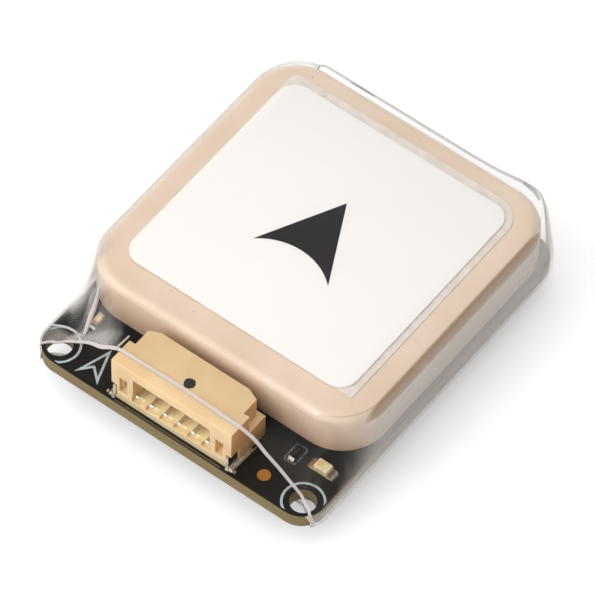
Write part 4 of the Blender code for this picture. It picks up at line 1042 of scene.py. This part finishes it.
        # Over the open front, each row has a place along the sleeve, the top's height, the corners from
        # the top down to the foot, and half the belly's width and its height
        rows = (
            (self.front, 5.56, 5.4, 6.35, 4.98, 7.35, 3.98, 9.3, 2.45, 10.85, 1.33, 12.2, 1.31, 10.4, floor),
            (-12.6, 5.86, 5.9, 6.95, 5.25, 8.15, 4.15, 9.7, 2.6, 10.6, 1.38, 12.2, 1.32, 9.6, -0.75),
            (-11.9, 6.0, 6.35, 7.45, 5.6, 8.65, 4.7, 9.95, 3.1, 10.45, 1.95, 12.2, 1.34, 9.2, -1.15),
            (-10.95, 6.2, 7.3, 8.5, 5.85, 9.45, 5.1, 10.15, 4.2, 10.45, 3.4, 12.1, 1.9, 8.6, -1.7),
            (-10.2, 6.4, 8.1, 9.25, 6.3, 9.85, 6.0, 10.35, 5.1, 10.95, 3.9, 12.2, 2.3, 8.1, -2.1),
        )
        for before, after in zip(rows, rows[1:]):
            if y <= after[0]:
                share = (y - before[0]) / (after[0] - before[0])
                top, x1, x2, z2, x3, z3, x4, z4, x5, z5, x6, foot, half, belly = (
                    start + (end - start) * share for start, end in zip(before[1:], after[1:]))
                return (
                    (0, top, 0), (x1, top, 0.4), (x2, z2, 0.5), (x3, z3, 0.6), (x4, z4, 0.6), (x5, z5, 0.25),
                    (x6, foot, 0.25), (side, min(foot, 1.24), 0.04), (side, floor, 0.05), (half, belly, 0.3),
                    (0, belly, 0),
                )
        corner = self.corner + self.wall
        crown = self.half_width - self.corner + corner
        if y < self.straight_from:
            turned = math.sqrt(max(0.0, corner ** 2 - (self.straight_from - y) ** 2))
            crown = max(self.half_width - self.corner + turned, 9.9)
        if y > self.straight_to:
            crown = self.rear_crown(y, 1.0)
        edge = 6.26 + self.wall - 0.2 * part_way(y, 14.95, self.rear)
        top = edge + 0.25 * min(part_way(y, -9.9, -7.9), part_way(y, 14.9, 13.3))
        near = self.round_corner(y)
        sink = part_way(y, -8.55, -10.15)
        rise = part_way(y, 12.75, self.rear)
        belly = extent("heat_shrink_sleeve")[0].z + 0.45 * sink + 1.7 * rise
        bulged = crown + 0.05
        return (
            (0, top, 0), (min(10.45, 0.85 * crown), top, 0.25), (crown - 0.8, edge + 0.01, 0.3),
            (crown - 0.25, edge - 0.24, 0.3), (crown, edge - 0.85, 0.4),
            (bulged + 0.35 * (near - crown), 4.2, 0.5), (bulged + 0.72 * (near - crown), 2.5, 0.5),
            (near, 1.24, 0.04), (near, floor, 0.05), (6.1 + 1.9 * sink + 2.9 * rise, belly, 0.3),
            (0, belly, 0),
        )

    def creases(self, radius, frost_and_highlight, smoky_shade):
        """Lines where the film folds, as thin beads: frosted white beside the antenna's corner, on the board
        and over the connector, where the white is partly a painted highlight on the fold, and smoky along
        the rear, where the darkness is partly painted shade."""
        bm = bmesh.new()
        for width, points in (
            (1.5, [(-9.62, -10.86, 6.15), (-9.62, -11.15, 5.0), (-9.6, -11.6, 4.2), (-9.6, -12.0, 3.6),
                   (-9.55, -12.37, 3.05), (-9.48, -12.8, 2.7)]),
            (0.7, [(-12.5, -12.85, 1.36), (-12.06, -12.6, 1.38), (-11.44, -12.33, 1.4),
                   (-10.94, -12.26, 1.4), (-10.4, -12.3, 1.42), (-9.9, -12.5, 1.9)]),
            (0.7, [(-5.75, -14.0, 5.4), (-5.62, -13.4, 5.55), (-5.5, -12.6, 5.75)]),
            (1.1, [(8.7, 15.36, 6.2), (9.3, 15.38, 6.14), (9.85, 15.34, 5.95), (10.3, 15.24, 5.6)]),
            (0.6, [(-6.6, 15.0, 6.22), (-5.7, 15.06, 6.24), (-4.5, 15.02, 6.24)]),
        ):
            bead(bm, points, width * radius)
        # Front beads stay frosted white, partly a painted highlight; rear beads get the smoky film, partly
        # painted shade
        second_finish(bm, lambda face, place: place.y > 0)
        piece("film_creases", bm, [frost_and_highlight, smoky_shade])


class GPS_OT_stage(Operator):
    """Build the floor, the soft lamps, the surroundings and the camera"""
    bl_idname = "gps_module.stage"
    bl_label = "Studio stage"

    # The viewpoint: azimuth, elevation and roll in degrees, the rest in millimetres, and the lens in pixels
    angles = (35.978, 54.082, 1.713)
    aim = Vector((0, 0, 4))
    distance = 431.125
    shift_right = -0.089
    shift_up = -1.499
    focal_pixels = 6000
    frame_pixels = 594
    sensor = 36.0

    def execute(self, context):
        size = context.scene.gps_stage
        self.floor(size)
        self.surroundings(context.scene, size)
        self.lamp("key_softbox", Vector((-0.38, -0.61, 0.54)), 0.9, size.key_power)
        self.lamp("small_softbox", Vector((-0.15, -0.78, 0.24)), 0.1, 0.24 * size.key_power)
        self.camera(context.scene)
        context.scene.view_settings.view_transform = "Standard"
        return {"FINISHED"}

    def floor(self, size):
        """A plain floor that looks white to the camera and in reflections, and keeps the shadow."""
        made, tree, detail = new_material("floor_sheet", patch_scale=9.0)
        pale = rgba(size.floor)
        path = add_node(tree, "LightPath").outputs
        seen = calc(tree, "MAXIMUM", path["Is Camera Ray"], path["Is Glossy Ray"])
        seen = calc(tree, "MAXIMUM", seen, path["Is Transmission Ray"])
        shade_with(tree, {
            "Base Color": blend(tree, detail["Patches"], pale, dimmed(pale, 0.995)), "Roughness": 0.9,
            "Emission Color": blend(tree, seen, (0, 0, 0, 1), (0.38, 0.38, 0.38, 1)),
            "Emission Strength": 1.0, "Specular IOR Level": 0.0,
        })
        bm = bmesh.new()
        bmesh.ops.create_grid(bm, x_segments=8, y_segments=8, size=0.8)
        new_object("floor", mesh_of("floor", bm, made))

    def surroundings(self, scene, size):
        """Pale light from all around, strongest overhead, and a bright band near the floor in mirrors."""
        world = bpy.data.worlds.new("pale_surroundings")
        world.use_nodes = True
        tree = world.node_tree
        tree.nodes.clear()
        way = add_node(tree, "TexCoord").outputs["Generated"]
        height = add_node(tree, "SeparateXYZ", {0: way}).outputs["Z"]
        towards = add_node(tree, "VectorMath", {0: way, 1: (-0.6, -0.6, 0.52)}, operation="DOT_PRODUCT")
        dim = (0.4, 0.4, 0.4, 1)
        diffuse = blend(tree, ramp(tree, towards.outputs["Value"], -1.0, 1.0, 0.0, 1.0), dim,
                        (1.4, 1.4, 1.4, 1))
        diffuse = blend(tree, ramp(tree, height, 0.75, 1.0, 0.0, 1.0), diffuse, (4.0, 4.0, 4.0, 1))
        mirrored = blend(tree, ramp(tree, height, 0.3, 0.75, 0.0, 1.0), (2.6, 2.6, 2.6, 1), dim)
        glow = blend(tree, add_node(tree, "LightPath").outputs["Is Glossy Ray"], diffuse, mirrored)
        back = add_node(tree, "Background", {"Color": glow, "Strength": size.sky})
        add_node(tree, "OutputWorld", {"Surface": back.outputs[0]})
        scene.world = world

    def lamp(self, name, place, width, power):
        light = bpy.data.lights.new(name, "AREA")
        light.shape = "DISK"
        light.size = width
        light.energy = power
        lamp = new_object(name, light)
        lamp.location = place
        lamp.rotation_euler = (-place).to_track_quat("-Z", "Y").to_euler()

    def camera(self, scene):
        """The photograph's own viewpoint, a long way off through a narrow lens."""
        azimuth, elevation, roll = (math.radians(angle) for angle in self.angles)
        back = Vector((math.sin(azimuth) * math.cos(elevation), -math.cos(azimuth) * math.cos(elevation),
                       math.sin(elevation)))
        level = Vector((math.cos(azimuth), math.sin(azimuth), 0))
        raised = back.cross(level)
        right = math.cos(roll) * level + math.sin(roll) * raised
        up = math.cos(roll) * raised - math.sin(roll) * level
        place = self.aim + self.distance * back + self.shift_right * right + self.shift_up * up
        data = bpy.data.cameras.new("camera")
        data.sensor_width = self.sensor
        data.lens = self.sensor * self.focal_pixels / self.frame_pixels
        data.clip_start = 0.05
        data.clip_end = 5.0
        camera = new_object("camera", data)
        turn = Matrix((right, up, back)).transposed().to_4x4()
        camera.matrix_world = Matrix.Translation(CENTRE + place * MM) @ turn
        scene.camera = camera


STEPS = (GPS_OT_board, GPS_OT_antenna, GPS_OT_connector, GPS_OT_front_parts, GPS_OT_underside,
         GPS_OT_sleeve, GPS_OT_stage)
GROUPS = (("gps_board", BoardSettings), ("gps_antenna", AntennaSettings),
          ("gps_connector", ConnectorSettings), ("gps_sleeve", SleeveSettings), ("gps_stage", StageSettings))


class GPS_PT_panel(Panel):
    """The module's sizes and colours, and a button for each step"""
    bl_idname = "GPS_PT_panel"
    bl_label = "GPS Module"
    bl_space_type = "VIEW_3D"
    bl_region_type = "UI"
    bl_category = "GPS Module"

    def draw(self, context):
        for step in STEPS:
            self.layout.operator(step.bl_idname)
        for attribute, group in GROUPS:
            box = self.layout.box()
            for name in group.__annotations__:
                box.prop(getattr(context.scene, attribute), name)


def register():
    for made in (*(group for _, group in GROUPS), *STEPS, GPS_PT_panel):
        bpy.utils.register_class(made)
    for attribute, group in GROUPS:
        setattr(bpy.types.Scene, attribute, PointerProperty(type=group))


def unregister():
    for attribute, _ in GROUPS:
        delattr(bpy.types.Scene, attribute)
    for made in (GPS_PT_panel, *reversed(STEPS), *(group for _, group in reversed(GROUPS))):
        bpy.utils.unregister_class(made)


def main():
    register()
    bpy.ops.gps_module.board()
    bpy.ops.gps_module.antenna()
    bpy.ops.gps_module.connector()
    bpy.ops.gps_module.front_parts()
    bpy.ops.gps_module.underside()
    bpy.ops.gps_module.sleeve()
    bpy.ops.gps_module.stage()


if __name__ == "__main__":
    main()
